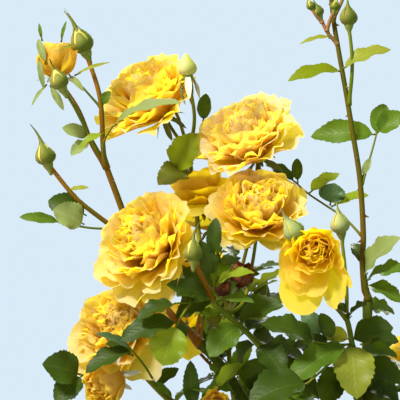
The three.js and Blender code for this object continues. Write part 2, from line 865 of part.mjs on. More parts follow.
// A twig of a grown spray, from its root: it fans out from the stem and sags a little
function grownTwig(root, turn, outward, reach, random) {
  const fan = heading(turn + TWIG_TURN * random(), varied(TWIG_SLOPE, TWIG_SLOPE_SPREAD, random));
  const direction = fan.addScaledVector(outward, TWIG_OUTWARD).add(vec(0, 0, TWIG_UPWARD)).normalize();
  const length = varied(TWIG_LENGTH * reach, TWIG_SPREAD, random);
  const middle = root.clone().addScaledVector(direction, length / 2).add(vec(0, 0, -TWIG_SAG * length));
  return [root, middle, root.clone().addScaledVector(direction, length)];
}

// A grown spray: a stem to its heart, and twigs that fan out from it
function grow(spray) {
  const random = series(spray.seed);
  const limb = limbCurves[spray.limb];
  const foot = limb.getPointAt(1).addScaledVector(limb.getTangentAt(1), GAP);
  const heart = vec(...spray.heart);
  const way = foot.distanceTo(heart);
  const straight = foot.clone().addScaledVector(limb.getTangentAt(1), STRAIGHT_FOOT);
  const bent = foot.clone().addScaledVector(limb.getTangentAt(1), STEM_BEND * way);
  const top = heart.clone().add(vec(0, 0, STEM_TOP * spray.reach));
  const stem = [foot, straight, bent, heart, top];
  const stemCurve = curveThrough(stem);
  const outward = vec(heart.x, heart.y, 0).normalize();
  const leaves = leavesAlong(stemCurve, 360 * random(), random);
  const twigs = spray.tips.map((tip, i) => {
    const share = i / (spray.tips.length - 1);
    const root = stemCurve.getPointAt(THREE.MathUtils.lerp(FIRST_TWIG, 1, share));
    const turn = spray.seed * SEED_TURN + i * GOLDEN_ANGLE;
    const path = grownTwig(root, turn, outward, spray.reach, random);
    const curve = curveThrough(path);
    leaves.push(...leavesAlong(curve, 360 * random(), random));
    const up = curve.getTangentAt(1).add(vec(0, 0, TIP_UPWARD)).normalize();
    return { path, tip, size: varied(GROWN_TIP_SIZES[tip], TIP_SPREAD, random), facing: up };
  });
  return { name: spray.name, stem, twigs, leaves, space: spray.name };
}

// The way that a blade's upper face looks when it shows its top, or when it is turned to the eye
const SIDES = { up: vec(0, -0.75, 0.8), eye: vec(-0.1, -1, 0.35) };

// A front spray in the same form as a grown one
function frontSpray(spray) {
  const limb = limbCurves[spray.limb];
  const foot = limb.getPointAt(1).addScaledVector(limb.getTangentAt(1), GAP);
  const straight = foot.clone().addScaledVector(limb.getTangentAt(1), STRAIGHT_FOOT);
  return {
    name: spray.name,
    stem: [foot, straight, ...spray.stem.map(seen)],
    twigs: spray.twigs.map((twig) => ({
      ...twig,
      path: twig.path.map(seen),
      facing: twig.facing && facing(twig.facing),
    })),
    leaves: spray.blades.map(([from, to, width, side]) => {
      const root = seen(from);
      const direction = seen(to).sub(root);
      const blade = direction.length() - BLADE_FOOT;
      direction.normalize();
      const shown = SIDES[side];
      const face = shown.clone().addScaledVector(direction, -shown.dot(direction)).normalize();
      const arch = BLADE_ARCH * blade;
      return { root, direction, stalk: BLADE_FOOT, blade, width, pairs: 0, face, arch };
    }),
  };
}

// Fuses a spray's stem, twigs, tips and leaves, and skips each piece that would leave the spray's
// space or touch what is finished. The stem's foot may come as close to its limb as the gap.
function spraySolid(spray) {
  const stemCurve = curveThrough(spray.stem);
  const pieces = [limbSolid(stemCurve, STEM_RADIUS, STEM_SIDES, spray.stem.length + 1)];
  for (const twig of spray.twigs) {
    const curve = curveThrough(twig.path);
    const radius = twig.tip === "leaf" ? LEAF_TWIG_RADIUS : TWIG_RADIUS;
    const twigSolid = limbSolid(curve, radius, TWIG_SIDES, twig.path.length);
    const neck = twig.path.at(-1);
    const tip = twig.tip === "leaf" ? twigSolid : TIP_SOLIDS[twig.tip](neck, twig.facing, twig.size);
    if (!touched(twigSolid) && !touched(tip)) pieces.push(twigSolid, tip);
  }
  for (const leaf of spray.leaves) {
    const blade = leafSolid(leaf);
    const end = leaf.root.clone().addScaledVector(leaf.direction, leaf.stalk + leaf.blade);
    const outside = spray.space && !inOwnSpace(spray.space, end);
    if (!outside && !touched(blade)) pieces.push(blade);
  }
  return largestBody(Manifold.union(pieces).simplify(SMOOTHING));
}

for (const spray of [...FRONT_SPRAYS.map(frontSpray), ...GROWN_SPRAYS.map(grow)]) {
  addNode(spray.name, spraySolid(spray), "foliage");
}

export default bush;
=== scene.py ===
import math
from random import Random

import bpy
import numpy as np
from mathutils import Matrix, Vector


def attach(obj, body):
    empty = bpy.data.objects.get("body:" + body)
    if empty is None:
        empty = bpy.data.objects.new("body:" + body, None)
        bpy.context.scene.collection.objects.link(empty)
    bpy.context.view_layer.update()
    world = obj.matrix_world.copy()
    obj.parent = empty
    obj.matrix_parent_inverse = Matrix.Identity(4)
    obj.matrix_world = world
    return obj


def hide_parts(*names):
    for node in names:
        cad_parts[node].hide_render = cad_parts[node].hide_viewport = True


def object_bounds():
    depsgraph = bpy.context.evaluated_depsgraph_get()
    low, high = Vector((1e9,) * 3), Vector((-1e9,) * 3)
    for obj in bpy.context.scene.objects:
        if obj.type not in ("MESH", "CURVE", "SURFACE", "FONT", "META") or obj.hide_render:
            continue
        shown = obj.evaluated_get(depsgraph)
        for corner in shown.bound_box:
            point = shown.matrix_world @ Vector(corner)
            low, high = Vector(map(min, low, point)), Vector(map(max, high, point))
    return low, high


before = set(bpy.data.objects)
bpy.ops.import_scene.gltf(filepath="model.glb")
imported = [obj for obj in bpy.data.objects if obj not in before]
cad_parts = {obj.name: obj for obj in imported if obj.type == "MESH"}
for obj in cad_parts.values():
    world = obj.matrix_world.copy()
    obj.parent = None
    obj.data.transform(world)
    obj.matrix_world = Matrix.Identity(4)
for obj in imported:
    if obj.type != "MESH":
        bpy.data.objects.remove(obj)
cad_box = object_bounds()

# A yellow shrub rose about a metre tall, in millimetres, +Z up, seen from the front along +Y.
# Each limb and each spray stands in the place of the solid of the same name, and grows by the same
# rule, carried on to finer leaves, petals, sepals and prickles.
MM = 0.001
FULL_TURN = 2 * math.pi
GOLDEN_ANGLE = 137.5  # from one leaf, petal or prickle to the next, in degrees
PHASES = 6.3  # the waves of a leaf or petal start anywhere in this, which is about a full turn

# The stock, the limbs and the stems
STOCK_RADIUS = 30
STOCK_HEIGHT = 62
STOCK_SIDES = 42
FLARE_RADIUS = 41
FLARE_HEIGHT = 4
# The radius and the height of each ring of the stock above its flare
STOCK_RINGS = [(FLARE_RADIUS * 0.8, 12), (STOCK_RADIUS * 0.86, 26), (STOCK_RADIUS, 42),
               (STOCK_RADIUS * 0.93, STOCK_HEIGHT - 6), (STOCK_RADIUS * 0.6, STOCK_HEIGHT)]
CANE_RING = 21  # how far from the middle of the stock the canes start
CANE_SLOPE = 66  # how steeply they leave it, in degrees
CANE_DEPTH = 16  # how far under the top of the stock they start
RUN_OUT = 0.36  # how far a limb keeps to its first direction, as a share of its reach
RUN_HOME = 0.34  # how far it keeps to its last one
GAP = 0.3  # between a limb and its spray's stem
STRAIGHT_FOOT = 6  # a spray's stem first runs straight on from its limb
COLLAR_SHORTNESS = 9  # the collar at a stem's foot takes up one part in this many
CANE_KNOTS = 5
BOUGH_KNOTS = 3
BOUGH_TIP = 3.4  # the radius of a bough's end
KNOT_SIZE = 0.16  # how much thicker a limb is at its knots, as a share of its radius
KNOT_SHORTNESS = 24  # the higher, the shorter the knots
LIMB_STEPS = 80
CURVE_STEPS = 16  # from one point to the next
ROD_STEP = 4
ROD_ROUNDNESS = 3
STOCK_RELIEF = (14, 7)  # the width and the depth of the bark's bumps
LIMB_RELIEF = (3.5, 0.9)
PRICKLE_LENGTHS = (2.8, 4.4)
PRICKLE_WIDTH = 1.4
PRICKLE_HOOK = 0.35  # how far down the stem the tip points, as a share of the length
PRICKLE_RISE = 1.9  # from the middle of its foot up the stem
PRICKLE_DROP = 1.4
PRICKLE_SEAT = 0.8  # where the foot sits, as a share of the stem's radius

# The leaves
BLADE_FOOT = 3  # the stalk of a blade that sits on a twig by itself
LEAFLET_WIDTH = 0.6  # share of its length
LEAFLET_ANGLE = 62  # between a side leaflet and the stalk
PAIR_SIZES = (0.88, 0.78)  # a pair's leaflets, as shares of the end one, from the tip down
PAIR_PLACES = (0.82, 0.36)  # where the pairs sit, as shares of the stalk
LEAF_ARCH = 12
BLADE_ARCH = 0.14  # share of a single blade's length
LEAF_FOLD = 0.12  # how steeply a leaf folds up at both sides
LEAF_FALL = 1.3  # past 1, the tip hangs lower than the foot
FOOT_SHARPNESS = 0.62  # the smaller, the blunter a leaflet's foot
TIP_SHARPNESS = 0.72
LEAST_WIDTH = 0.03  # share of the widest
LEAF_TEETH = 0.09  # how deep they are, as a share of the width
FRONT_TEETH = 0.07  # the same of the leaves at the front
NO_TEETH = 0.0
TOOTH_LEAN = 0.35  # how far the teeth point to the tip
LEAF_RIPPLE = 0.08  # share of the width

# The petals, as shares of their length or width
PETAL_FOOT = 0.22  # width of the foot
PETAL_WIDEST = 0.62  # where a petal is widest
FRILL = 0.5  # how high the finer waves at the rim are, to the large ones
CREASE = 0.3  # how deep the folds along a petal are, to the large waves
HALF_OPEN_PETALS = 34  # in a half-open flower

# The eye that sees the front sprays, and the width of what it sees at the middle of the bush
EYE_ACROSS = -90
EYE_HEIGHT = 800
EYE_DISTANCE = 1200
PITCH = math.radians(6)
VIEW_WIDTH = 360
EYE_FOOT = EYE_HEIGHT - EYE_DISTANCE * math.tan(PITCH)


def vec(*numbers):
    return np.array(numbers, float)


def unit(vectors):
    return vectors / np.linalg.norm(vectors, axis=-1, keepdims=True)


def seen(place):
    """A point from where it is seen: across and up from the middle of the view, and its depth."""
    across, up, depth = place
    nearness = (EYE_DISTANCE + depth) / (EYE_DISTANCE - up * math.sin(PITCH))
    rise = up * math.cos(PITCH) + EYE_DISTANCE * math.tan(PITCH)
    return vec(EYE_ACROSS + across * nearness, depth, EYE_FOOT + nearness * rise)


def facing(direction):
    """A direction from how it is seen: across, up and away from the eye."""
    across, up, depth = direction
    level, lift = math.cos(PITCH), math.sin(PITCH)
    return unit(vec(across, depth * level - up * lift, up * level + depth * lift))


def series(seed):
    """The seeded series of numbers from 0 to 1 that the solids grow by."""
    top, factor, step = 2**32, 1664525, 1013904223
    state = (seed * 7919 + 12345) % top

    def following():
        nonlocal state
        state = (state * factor + step) % top
        return state / top

    return following


def heading(bearing, height):
    bearing, height = math.radians(bearing), math.radians(height)
    level = math.cos(height)
    return vec(math.cos(bearing) * level, math.sin(bearing) * level, math.sin(height))


def turned(vector, axis, degrees):
    """A vector turned round an axis."""
    cos, sin = math.cos(math.radians(degrees)), math.sin(math.radians(degrees))
    return vector * cos + np.cross(axis, vector) * sin + axis * np.dot(axis, vector) * (1 - cos)


def sideways(axis, turn):
    """A direction at right angles to an axis, turned round it."""
    level = vec(1, 0, 0) if abs(axis[2]) > 0.9 else vec(0, 0, 1)
    return turned(unit(np.cross(level, axis)), axis, turn)


def square_to(axis):
    """Two directions at right angles to an axis and to each other."""
    first = sideways(axis, 0)
    return first, np.cross(axis, first)


def tapered(radii, share):
    """The radius at a share of the way from the first to the last."""
    return radii[0] + (radii[1] - radii[0]) * share


def round_angles(sides):
    """The angles of the corners of a ring."""
    return np.arange(sides) * FULL_TURN / sides


class Curve:
    """A smooth curve, read by the share of its length."""

    STEP = 0.004

    def __init__(self, points):
        self.points = np.array(points)
        steps = np.linalg.norm(np.diff(self.points, axis=0), axis=1)
        self.run = np.concatenate([[0], np.cumsum(steps)])
        self.length = self.run[-1]

    def at(self, share):
        place = np.asarray(share) * self.length
        return np.stack([np.interp(place, self.run, line) for line in self.points.T], axis=-1)

    def tangent(self, share):
        before = np.maximum(np.asarray(share) - self.STEP, 0)
        after = np.minimum(np.asarray(share) + self.STEP, 1)
        return unit(self.at(after) - self.at(before))


def curve_through(places):
    """A curve through points, each passed in line with its two neighbours."""
    points = [2 * places[0] - places[1], *places, 2 * places[-1] - places[-2]]
    t = np.linspace(0, 1, CURVE_STEPS, endpoint=False)[:, None]
    parts = []
    for a, b, c, d in zip(points, points[1:], points[2:], points[3:]):
        square, cube = 2 * a - 5 * b + 4 * c - d, 3 * b - a - 3 * c + d
        parts.append(0.5 * (2 * b + (c - a) * t + square * t**2 + cube * t**3))
    return Curve(np.concatenate([*parts, [places[-1]]]))


def limb_curve(foot, leaving, end, ending):
    """A limb leaves its foot in one direction and reaches its end in another, on one smooth bow."""
    reach = np.linalg.norm(end - foot)
    out = foot + unit(leaving) * reach * RUN_OUT
    home = end - unit(ending) * reach * RUN_HOME
    t = np.linspace(0, 1, LIMB_STEPS + 1)[:, None]
    return Curve((1 - t)**3 * foot + 3 * (1 - t)**2 * t * out + 3 * (1 - t) * t**2 * home + t**3 * end)


# Finishes
LEAF_GLOSS = 0.14
PETAL_GLOSS = 0.3
STEM_GLOSS = 0.1
BARK_GLOSS = 0.15
PETAL_ROUGHNESS = 0.62
STEM_ROUGHNESS = 0.55
BARK_ROUGHNESS = 0.75
FLOOR_ROUGHNESS = 0.9
SIDE_VEINS = 8.5  # in the length of a leaflet
VEIN_SLANT = 3.4  # by how many veins' distances they run forward
VEIN_SLIMNESS = 10  # the higher, the slimmer they are
RIB_SLIMNESS = 16  # the same of a leaflet's middle rib
PATCH_SHARPNESS = 3  # the higher, the sharper the edges of patches
PALE_RIM_AND_HIGHLIGHT_FROM = 0.62  # where a petal's pale rim, partly a painted highlight, starts, as a share of its length
PALE_SHARPNESS = 3.4  # how fast it starts
# How fine a pattern is, per metre, and how much finer pattern it holds
LEAF_PATCHES = (38, 2.0)
PETAL_MOTTLE = (55, 3.0)
PETAL_GRAIN = (420, 1.0)
STEM_PATCHES = (16, 3.0)
STEM_GRAIN = (260, 2.0)
BARK_PATCHES = (14, 4.0)
BARK_SCARS = (120, 3.0)
BARK_GREEN = (0.062, 0.096, 0.004)
BARK_OLIVE = (0.110, 0.105, 0.008)
BARK_BROWN = (0.135, 0.085, 0.040)
SCAR_BROWN = (0.19, 0.15, 0.05)
# A bough's green and ripe shades and how ripe it is; the ripe shade lies towards the key light, partly as a
# painted lit side
BOUGH_LOOK = ((0.070, 0.110, 0.004), (0.17, 0.13, 0.010), 0.15)
BARK_GREENS_AT = 260  # the height by which the bark has turned from brown to green


class Value:
    """A socket in a material, on which sums can be written."""

    def __init__(self, paint, socket):
        self.paint, self.socket = paint, socket

    def math(self, operation, *others, **settings):
        inputs = dict(enumerate((self, *others)))
        return self.paint.node("ShaderNodeMath", {"operation": operation, **settings}, inputs)

    def __add__(self, other):
        return self.math("ADD", other)

    def __sub__(self, other):
        return self.math("SUBTRACT", other)

    def __rsub__(self, other):
        return (self * -1) + other

    def __mul__(self, other):
        return self.math("MULTIPLY", other)

    def __pow__(self, other):
        return self.math("POWER", other)

    __radd__ = __add__
    __rmul__ = __mul__

    def held(self):
        """The value kept between 0 and 1."""
        return self.math("ADD", 0.0, use_clamp=True)

    def above(self, level):
        """How far the value is above a level, from 0 to 1: it shows as patches with soft edges."""
        return ((self - level) * PATCH_SHARPNESS).held()


class Paint:
    """A material and its nodes."""

    def __init__(self, name):
        self.material = bpy.data.materials.new(name)
        self.material.use_nodes = True
        self.tree = self.material.node_tree
        self.tree.nodes.clear()

    def node(self, kind, settings=None, inputs=None, output=0):
        made = self.tree.nodes.new(kind)
        for key, value in (settings or {}).items():
            setattr(made, key, value)
        for key, value in (inputs or {}).items():
            if isinstance(value, Value):
                self.tree.links.new(value.socket, made.inputs[key])
            else:
                made.inputs[key].default_value = value
        return Value(self, made.outputs[output]) if made.outputs else None

    def mixed(self, first, second, share):
        """One colour passing into another."""
        first, second = (each if isinstance(each, Value) else (*each, 1) for each in (first, second))
        settings = {"data_type": "RGBA", "clamp_factor": True}
        return self.node("ShaderNodeMix", settings, {0: share, 6: first, 7: second}, output=2)

    def split(self, kind, output):
        """The three numbers of a place or a direction that another node gives."""
        place = self.node(kind, output=output)
        first = self.node("ShaderNodeSeparateXYZ", {}, {0: place})
        return [Value(self, socket) for socket in first.socket.node.outputs]

    def noise(self, scale, detail):
        place = self.node("ShaderNodeTexCoord", output="Object")
        return self.node("ShaderNodeTexNoise", {}, {"Vector": place, "Scale": scale, "Detail": detail})

    def bump(self, height, strength, distance):
        inputs = {"Height": height, "Strength": strength, "Distance": distance * MM}
        return self.node("ShaderNodeBump", {}, inputs)

    def surface(self, colour, roughness, normal=None, gloss=0.5):
        inputs = {"Base Color": colour, "Roughness": roughness, "Specular IOR Level": gloss}
        if normal:
            inputs["Normal"] = normal
        return self.node("ShaderNodeBsdfPrincipled", {}, inputs)

    def finished(self, shader):
        self.node("ShaderNodeOutputMaterial", {}, {"Surface": shader})
        return self.material

    def lit_through(self, shader, colour, share):
        """Mixes in the light that comes through a thin leaf or petal."""
        through = self.node("ShaderNodeBsdfTranslucent", {}, {"Color": (*colour, 1)})
        return self.node("ShaderNodeMixShader", {}, {0: share, 1: shader, 2: through})


def leaf_finish(name, blade, vein, shade, roughness, glow, through):
    """A leaf's surface: its blade, paler veins, and darker patches."""
    paint = Paint(name)
    along, across, _ = paint.split("ShaderNodeTexCoord", "UV")
    off = (across - 0.5).math("ABSOLUTE") * 2
    rib = (1 - off * RIB_SLIMNESS).held()
    wave = ((along * SIDE_VEINS - off * VEIN_SLANT) * FULL_TURN).math("SINE") * 0.5 + 0.5
    veins = wave**VEIN_SLIMNESS * (1 - off)
    colour = paint.mixed(blade, shade, paint.noise(*LEAF_PATCHES).above(0.42) * 0.7)
    colour = paint.mixed(colour, vein, (rib * 0.6 + veins * 0.3).held())
    normal = paint.bump(off * -0.5 + veins * -0.6, 0.35, 1.2)
    shader = paint.surface(colour, roughness, normal, LEAF_GLOSS)
    return paint.finished(paint.lit_through(shader, through, glow))


def petal_finish(name, deep, body, rim, through, glow=0.7):
    """A petal: deep at its foot, partly painted shade, golden on its back, and pale at its rim, partly a
    painted highlight.
    """
    paint = Paint(name)
    along, openness, _ = paint.split("ShaderNodeTexCoord", "UV")
    mottle = paint.noise(*PETAL_MOTTLE)
    # Deep at the foot and in the bloom's heart: partly the petal's own colour, partly painted shade in the
    # crevices between petals
    colour = paint.mixed(deep, body, (along * 2.0 - 0.35 + openness * 0.3).held())
    # The pale rim is partly the petal's own colour and partly a painted highlight; outer petals keep less of
    # it, so their backs stay golden, partly as painted light coming through them
    pale = ((along - PALE_RIM_AND_HIGHLIGHT_FROM) * PALE_SHARPNESS * (1 - openness * 0.2) + (mottle - 0.5) * 0.4).held()
    colour = paint.mixed(colour, rim, pale)
    normal = paint.bump(paint.noise(*PETAL_GRAIN), 0.25, 0.4)
    shader = paint.surface(colour, PETAL_ROUGHNESS, normal, PETAL_GLOSS)
    return paint.finished(paint.lit_through(shader, through, glow))


def stem_finish(name, green, ripe, share):
    """A stem: green, and red-brown on its side towards the key light, partly sun-reddening and partly a
    painted lit side.
    """
    paint = Paint(name)
    patches = paint.noise(*STEM_PATCHES)
    left, _, upward = paint.split("ShaderNodeNewGeometry", "Normal")
    # Painted lit side: the side facing the upper left, where the key light falls, takes the ripe colour;
    # this is partly the real reddening that sun gives a stem
    lit_and_reddened_side = left * -0.65 + upward * 0.2
    ripened_and_lit = ((patches - 0.5) * 2.0 + lit_and_reddened_side + share).held()
    normal = paint.bump(paint.noise(*STEM_GRAIN), 0.3, 0.5)
    colour = paint.mixed(green, ripe, ripened_and_lit)
    return paint.finished(paint.surface(colour, STEM_ROUGHNESS, normal, STEM_GLOSS))


def bark_finish():
    """Cane bark: olive green, with scars, and brown towards the ground."""
    paint = Paint("cane_bark")
    patches = paint.noise(*BARK_PATCHES)
    scars = paint.noise(*BARK_SCARS)
    _, _, height = paint.split("ShaderNodeTexCoord", "Object")
    low = ((height * -1 + BARK_GREENS_AT * MM) * 5 + (patches - 0.5) * 1.5).held()
    colour = paint.mixed(BARK_GREEN, BARK_OLIVE, patches.above(0.45))
    colour = paint.mixed(colour, BARK_BROWN, low)
    colour = paint.mixed(colour, SCAR_BROWN, scars.above(0.54) * 0.35)
    normal = paint.bump(scars, 0.5, 1.0)
    return paint.finished(paint.surface(colour, BARK_ROUGHNESS, normal, BARK_GLOSS))


def in_tones(kind, finish, looks):
    """A finish for each tone of one kind of piece."""
    return {tone: finish(kind + tone, *look) for tone, look in looks.items()}


# A leaf's blade, its veins, its darker patches, its roughness, and how much light of which colour
# comes through it. At the front the tones are partly painted light: dark partly painted shade, pale
# partly a painted glossy highlight, bright and light partly painted light coming through from behind;
# in the other sprays the tones are dealt at random
LEAF_FINISHES = in_tones("leaf_", leaf_finish, {
    "dark": ((0.028, 0.056, 0.003), (0.060, 0.10, 0.010), (0.014, 0.032, 0.002), 0.46, 0.14,
             (0.18, 0.28, 0.004)),
    "mid": ((0.062, 0.120, 0.007), (0.13, 0.20, 0.025), (0.034, 0.080, 0.005), 0.42, 0.22,
            (0.30, 0.46, 0.01)),
    "bright": ((0.115, 0.165, 0.003), (0.18, 0.22, 0.015), (0.070, 0.110, 0.002), 0.44, 0.30,
               (0.42, 0.50, 0.003)),
    "light": ((0.185, 0.260, 0.012), (0.28, 0.35, 0.04), (0.110, 0.180, 0.010), 0.38, 0.34,
              (0.56, 0.68, 0.018)),
    "young": ((0.200, 0.235, 0.022), (0.30, 0.33, 0.06), (0.140, 0.165, 0.018), 0.40, 0.30,
              (0.56, 0.58, 0.03)),
    "pale": ((0.185, 0.240, 0.075), (0.28, 0.33, 0.12), (0.125, 0.165, 0.045), 0.5, 0.22,
             (0.52, 0.58, 0.10)),
    "blue": ((0.050, 0.100, 0.038), (0.09, 0.15, 0.06), (0.034, 0.074, 0.028), 0.34, 0.12,
             (0.16, 0.30, 0.04)),
    "olive": ((0.070, 0.082, 0.004), (0.10, 0.11, 0.012), (0.050, 0.060, 0.003), 0.5, 0.22,
              (0.30, 0.32, 0.005)),
    "dry": ((0.250, 0.085, 0.014), (0.34, 0.15, 0.04), (0.140, 0.040, 0.008), 0.7, 0.12,
            (0.45, 0.16, 0.03)),
})
# A petal's foot, deep partly as painted shade, its body, its rim, pale partly as a painted highlight,
# and the light that comes through it
PETAL_FINISHES = in_tones("petal_", petal_finish, {
    "butter": ((0.92, 0.60, 0.006), (0.94, 0.745, 0.028), (0.96, 0.875, 0.50), (0.97, 0.790, 0.018)),
    "cream": ((0.93, 0.61, 0.010), (0.95, 0.765, 0.06), (0.97, 0.905, 0.80), (0.97, 0.800, 0.040)),
    "golden": ((0.94, 0.65, 0.005), (0.95, 0.73, 0.012), (0.95, 0.78, 0.15), (0.96, 0.770, 0.008)),
    "peach": ((0.88, 0.54, 0.02), (0.91, 0.715, 0.10), (0.94, 0.835, 0.52), (0.94, 0.755, 0.050)),
    # amber, for the half-open flowers at the front, is darker partly as painted shade
    "amber": ((0.76, 0.42, 0.010), (0.86, 0.60, 0.030), (0.90, 0.74, 0.18), (0.94, 0.70, 0.03)),
    "spent": ((0.035, 0.008, 0.003), (0.085, 0.018, 0.006), (0.20, 0.065, 0.018), (0.25, 0.05, 0.015),
              0.1),
})
# A green part's shade when young and when ripe, and how ripe it is; the ripe shade lies towards
# the key light, partly as a painted lit side
TWIG_FINISHES = in_tones("twig_", stem_finish, {
    "green": ((0.090, 0.135, 0.004), (0.22, 0.17, 0.010), 0.15),
    "ripe": ((0.095, 0.085, 0.002), (0.25, 0.095, 0.004), 0.7),
    "shoot": ((0.062, 0.070, 0.002), (0.15, 0.070, 0.004), 0.25),
    "red": ((0.17, 0.13, 0.03), (0.36, 0.12, 0.055), 0.45),
})
# Buds, seed cases and sepals: their ripe shade lies towards the key light, partly as a painted lit side
BUD_FINISHES = in_tones("", stem_finish, {
    "seed_case": ((0.130, 0.200, 0.025), (0.26, 0.24, 0.05), 0.2),
    "bud_green": ((0.380, 0.430, 0.090), (0.62, 0.50, 0.22), 0.25),
    "bud_yellow": ((0.30, 0.34, 0.05), (0.66, 0.52, 0.12), 0.3),
    "sepal_green": ((0.085, 0.125, 0.012), (0.22, 0.20, 0.035), 0.2),
    "sepal_light": ((0.220, 0.285, 0.085), (0.39, 0.38, 0.15), 0.3),
    "sepal_pale": ((0.40, 0.42, 0.24), (0.60, 0.58, 0.42), 0.5),
})
SPRAY_FINISHES = {"twigs": TWIG_FINISHES, "leaves": LEAF_FINISHES, "blooms": PETAL_FINISHES,
                  "buds": BUD_FINISHES}


# Meshes made from arrays
class Shape:
    """Corners, faces, patterns and finishes that are gathered into one mesh."""

    def __init__(self, finishes):
        self.finishes, self.order = finishes.values(), list(finishes)
        self.corners, self.faces, self.pattern, self.tones = [], [], [], []
        self.count = 0

    def add(self, corners, faces, pattern, tone):
        """Adds corners, and faces of three or four of them, in one finish."""
        self.add_copies(corners[None], faces, pattern[None], [tone])

    def add_copies(self, corners, faces, pattern, tones):
        """Adds many copies of one small shape: corners per copy, its faces, and a finish per copy."""
        copies, size = corners.shape[:2]
        starts = np.arange(copies)[:, None, None] * size
        numbers = [self.order.index(tone) for tone in tones]
        self.corners.append(corners.reshape(-1, 3))
        self.pattern.append(pattern.reshape(-1, 2))
        for each in faces:
            self.faces.append((each[None] + starts).reshape(-1, each.shape[1]) + self.count)
            self.tones.append(np.repeat(numbers, len(each)))
        self.count += copies * size

    def make(self, name, node, slot):
        """Makes the mesh and its object, which stands for a solid."""
        mesh = bpy.data.meshes.new(name)
        corners = np.concatenate(self.corners) * MM
        loops = np.concatenate([each.ravel() for each in self.faces])
        sizes = np.concatenate([np.full(len(each), each.shape[1]) for each in self.faces])
        mesh.vertices.add(len(corners))
        mesh.vertices.foreach_set("co", corners.ravel())
        mesh.loops.add(len(loops))
        mesh.loops.foreach_set("vertex_index", loops)
        mesh.polygons.add(len(sizes))
        mesh.polygons.foreach_set("loop_start", np.concatenate([[0], np.cumsum(sizes)[:-1]]))
        for finish in self.finishes:
            mesh.materials.append(finish)
        mesh.polygons.foreach_set("material_index", np.concatenate(self.tones).astype(np.int32))
        mesh.polygons.foreach_set("use_smooth", np.ones(len(sizes), bool))
        pattern = mesh.uv_layers.new(name="along_and_across")
        pattern.data.foreach_set("uv", np.concatenate(self.pattern)[loops].ravel())
        mesh.update(calc_edges=True)
        mesh.validate()
        made = bpy.data.objects.new(name, mesh)
        bpy.context.scene.collection.objects.link(made)
        stand_for(made, node)


def stand_for(piece, node):
    """The piece moves with the bush, and is shown in the place of a solid."""
    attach(piece, "root")
    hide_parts(node)


def add_skin(shape, rings, ends, tone):
    """A closed skin over rings of corners, from one end to the other."""
    sides, steps = len(rings[0]), len(rings) - 1
    corners = np.concatenate([*rings, ends])
    ring, side = np.meshgrid(np.arange(steps), np.arange(sides), indexing="ij")
    beside = (side + 1) % sides
    low, high = ring * sides, (ring + 1) * sides
    walls = np.stack([low + side, low + beside, high + beside, high + side], -1).reshape(-1, 4)
    side, beside = side[0], beside[0]
    foot = np.stack([np.full(sides, len(corners) - 2), beside, side], -1)
    tip = np.stack([np.full(sides, len(corners) - 1), steps * sides + side, steps * sides + beside], -1)
    along = np.concatenate([np.repeat(np.linspace(0, 1, steps + 1), sides), [0, 1]])
    pattern = np.stack([along, np.full(len(along), 0.5)], -1)
    shape.add(corners, [walls, np.concatenate([foot, tip])], pattern, tone)


def add_tube(shape, curve, radii, mesh, tone, collar=0.0):
    """A round stem that tapers along a curve, with a collar at its foot. Its mesh has sides and steps."""
    sides, steps = mesh
    shares = np.linspace(0, 1, steps + 1)
    centres, tangents = curve.at(shares), curve.tangent(shares)
    normal = sideways(tangents[0], 0)
    angles = round_angles(sides)
    rings = []
    for share, centre, tangent in zip(shares, centres, tangents):
        normal = unit(normal - tangent * np.dot(normal, tangent))
        other = np.cross(tangent, normal)
        radius = tapered(radii, share)
        radius += collar * radii[1] * max(0, 1 - share * COLLAR_SHORTNESS)
        rings.append(centre + radius * (np.outer(np.cos(angles), normal) + np.outer(np.sin(angles), other)))
    add_skin(shape, rings, centres[[0, -1]], tone)


def add_turned(shape, neck, axis, profile, size, sides, tone, folds=0.0):
    """A closed round shape, such as a seed case, from its outline: shares of its size out and up."""
    first, second = square_to(axis)
    angles = round_angles(sides)
    rings = []
    for out, up in profile[1:-1]:
        radius = out * size * (1 + folds * np.cos(3 * angles + 4 * up))
        rings.append(neck + up * size * axis + np.outer(radius * np.cos(angles), first)
                     + np.outer(radius * np.sin(angles), second))
    add_skin(shape, rings, [neck + up * size * axis for _, up in (profile[0], profile[-1])], tone)


def leaflet_grid(stations):
    """A leaflet's corners, as shares along and across it, and its faces. The edges have teeth."""
    middle = np.linspace(0, 1, stations + 1)
    edge = np.linspace(0, 1, 2 * stations + 1)
    along = np.concatenate([middle, middle, middle, edge, edge])
    across = np.repeat([0, -0.5, 0.5, -1, 1], [len(middle)] * 3 + [len(edge)] * 2)
    notch = np.zeros(len(along))
    rib = np.arange(stations)
    left, right = len(middle) + rib, 2 * len(middle) + rib
    faces = [np.stack([rib, rib + 1, right + 1, right], -1), np.stack([left, left + 1, rib + 1, rib], -1)]
    rim = 3 * len(middle) + 2 * rib
    notch[rim + 1] = 1
    faces.append(np.stack([left + 1, left, rim + 1, rim + 2], -1))
    teeth = [np.stack([left, rim, rim + 1], -1)]
    rim = rim + len(edge)
    notch[rim + 1] = 1
    faces.append(np.stack([right, right + 1, rim + 2, rim + 1], -1))
    teeth.append(np.stack([right, rim + 1, rim], -1))
    return along, across, notch, [np.concatenate(faces), np.concatenate(teeth)]


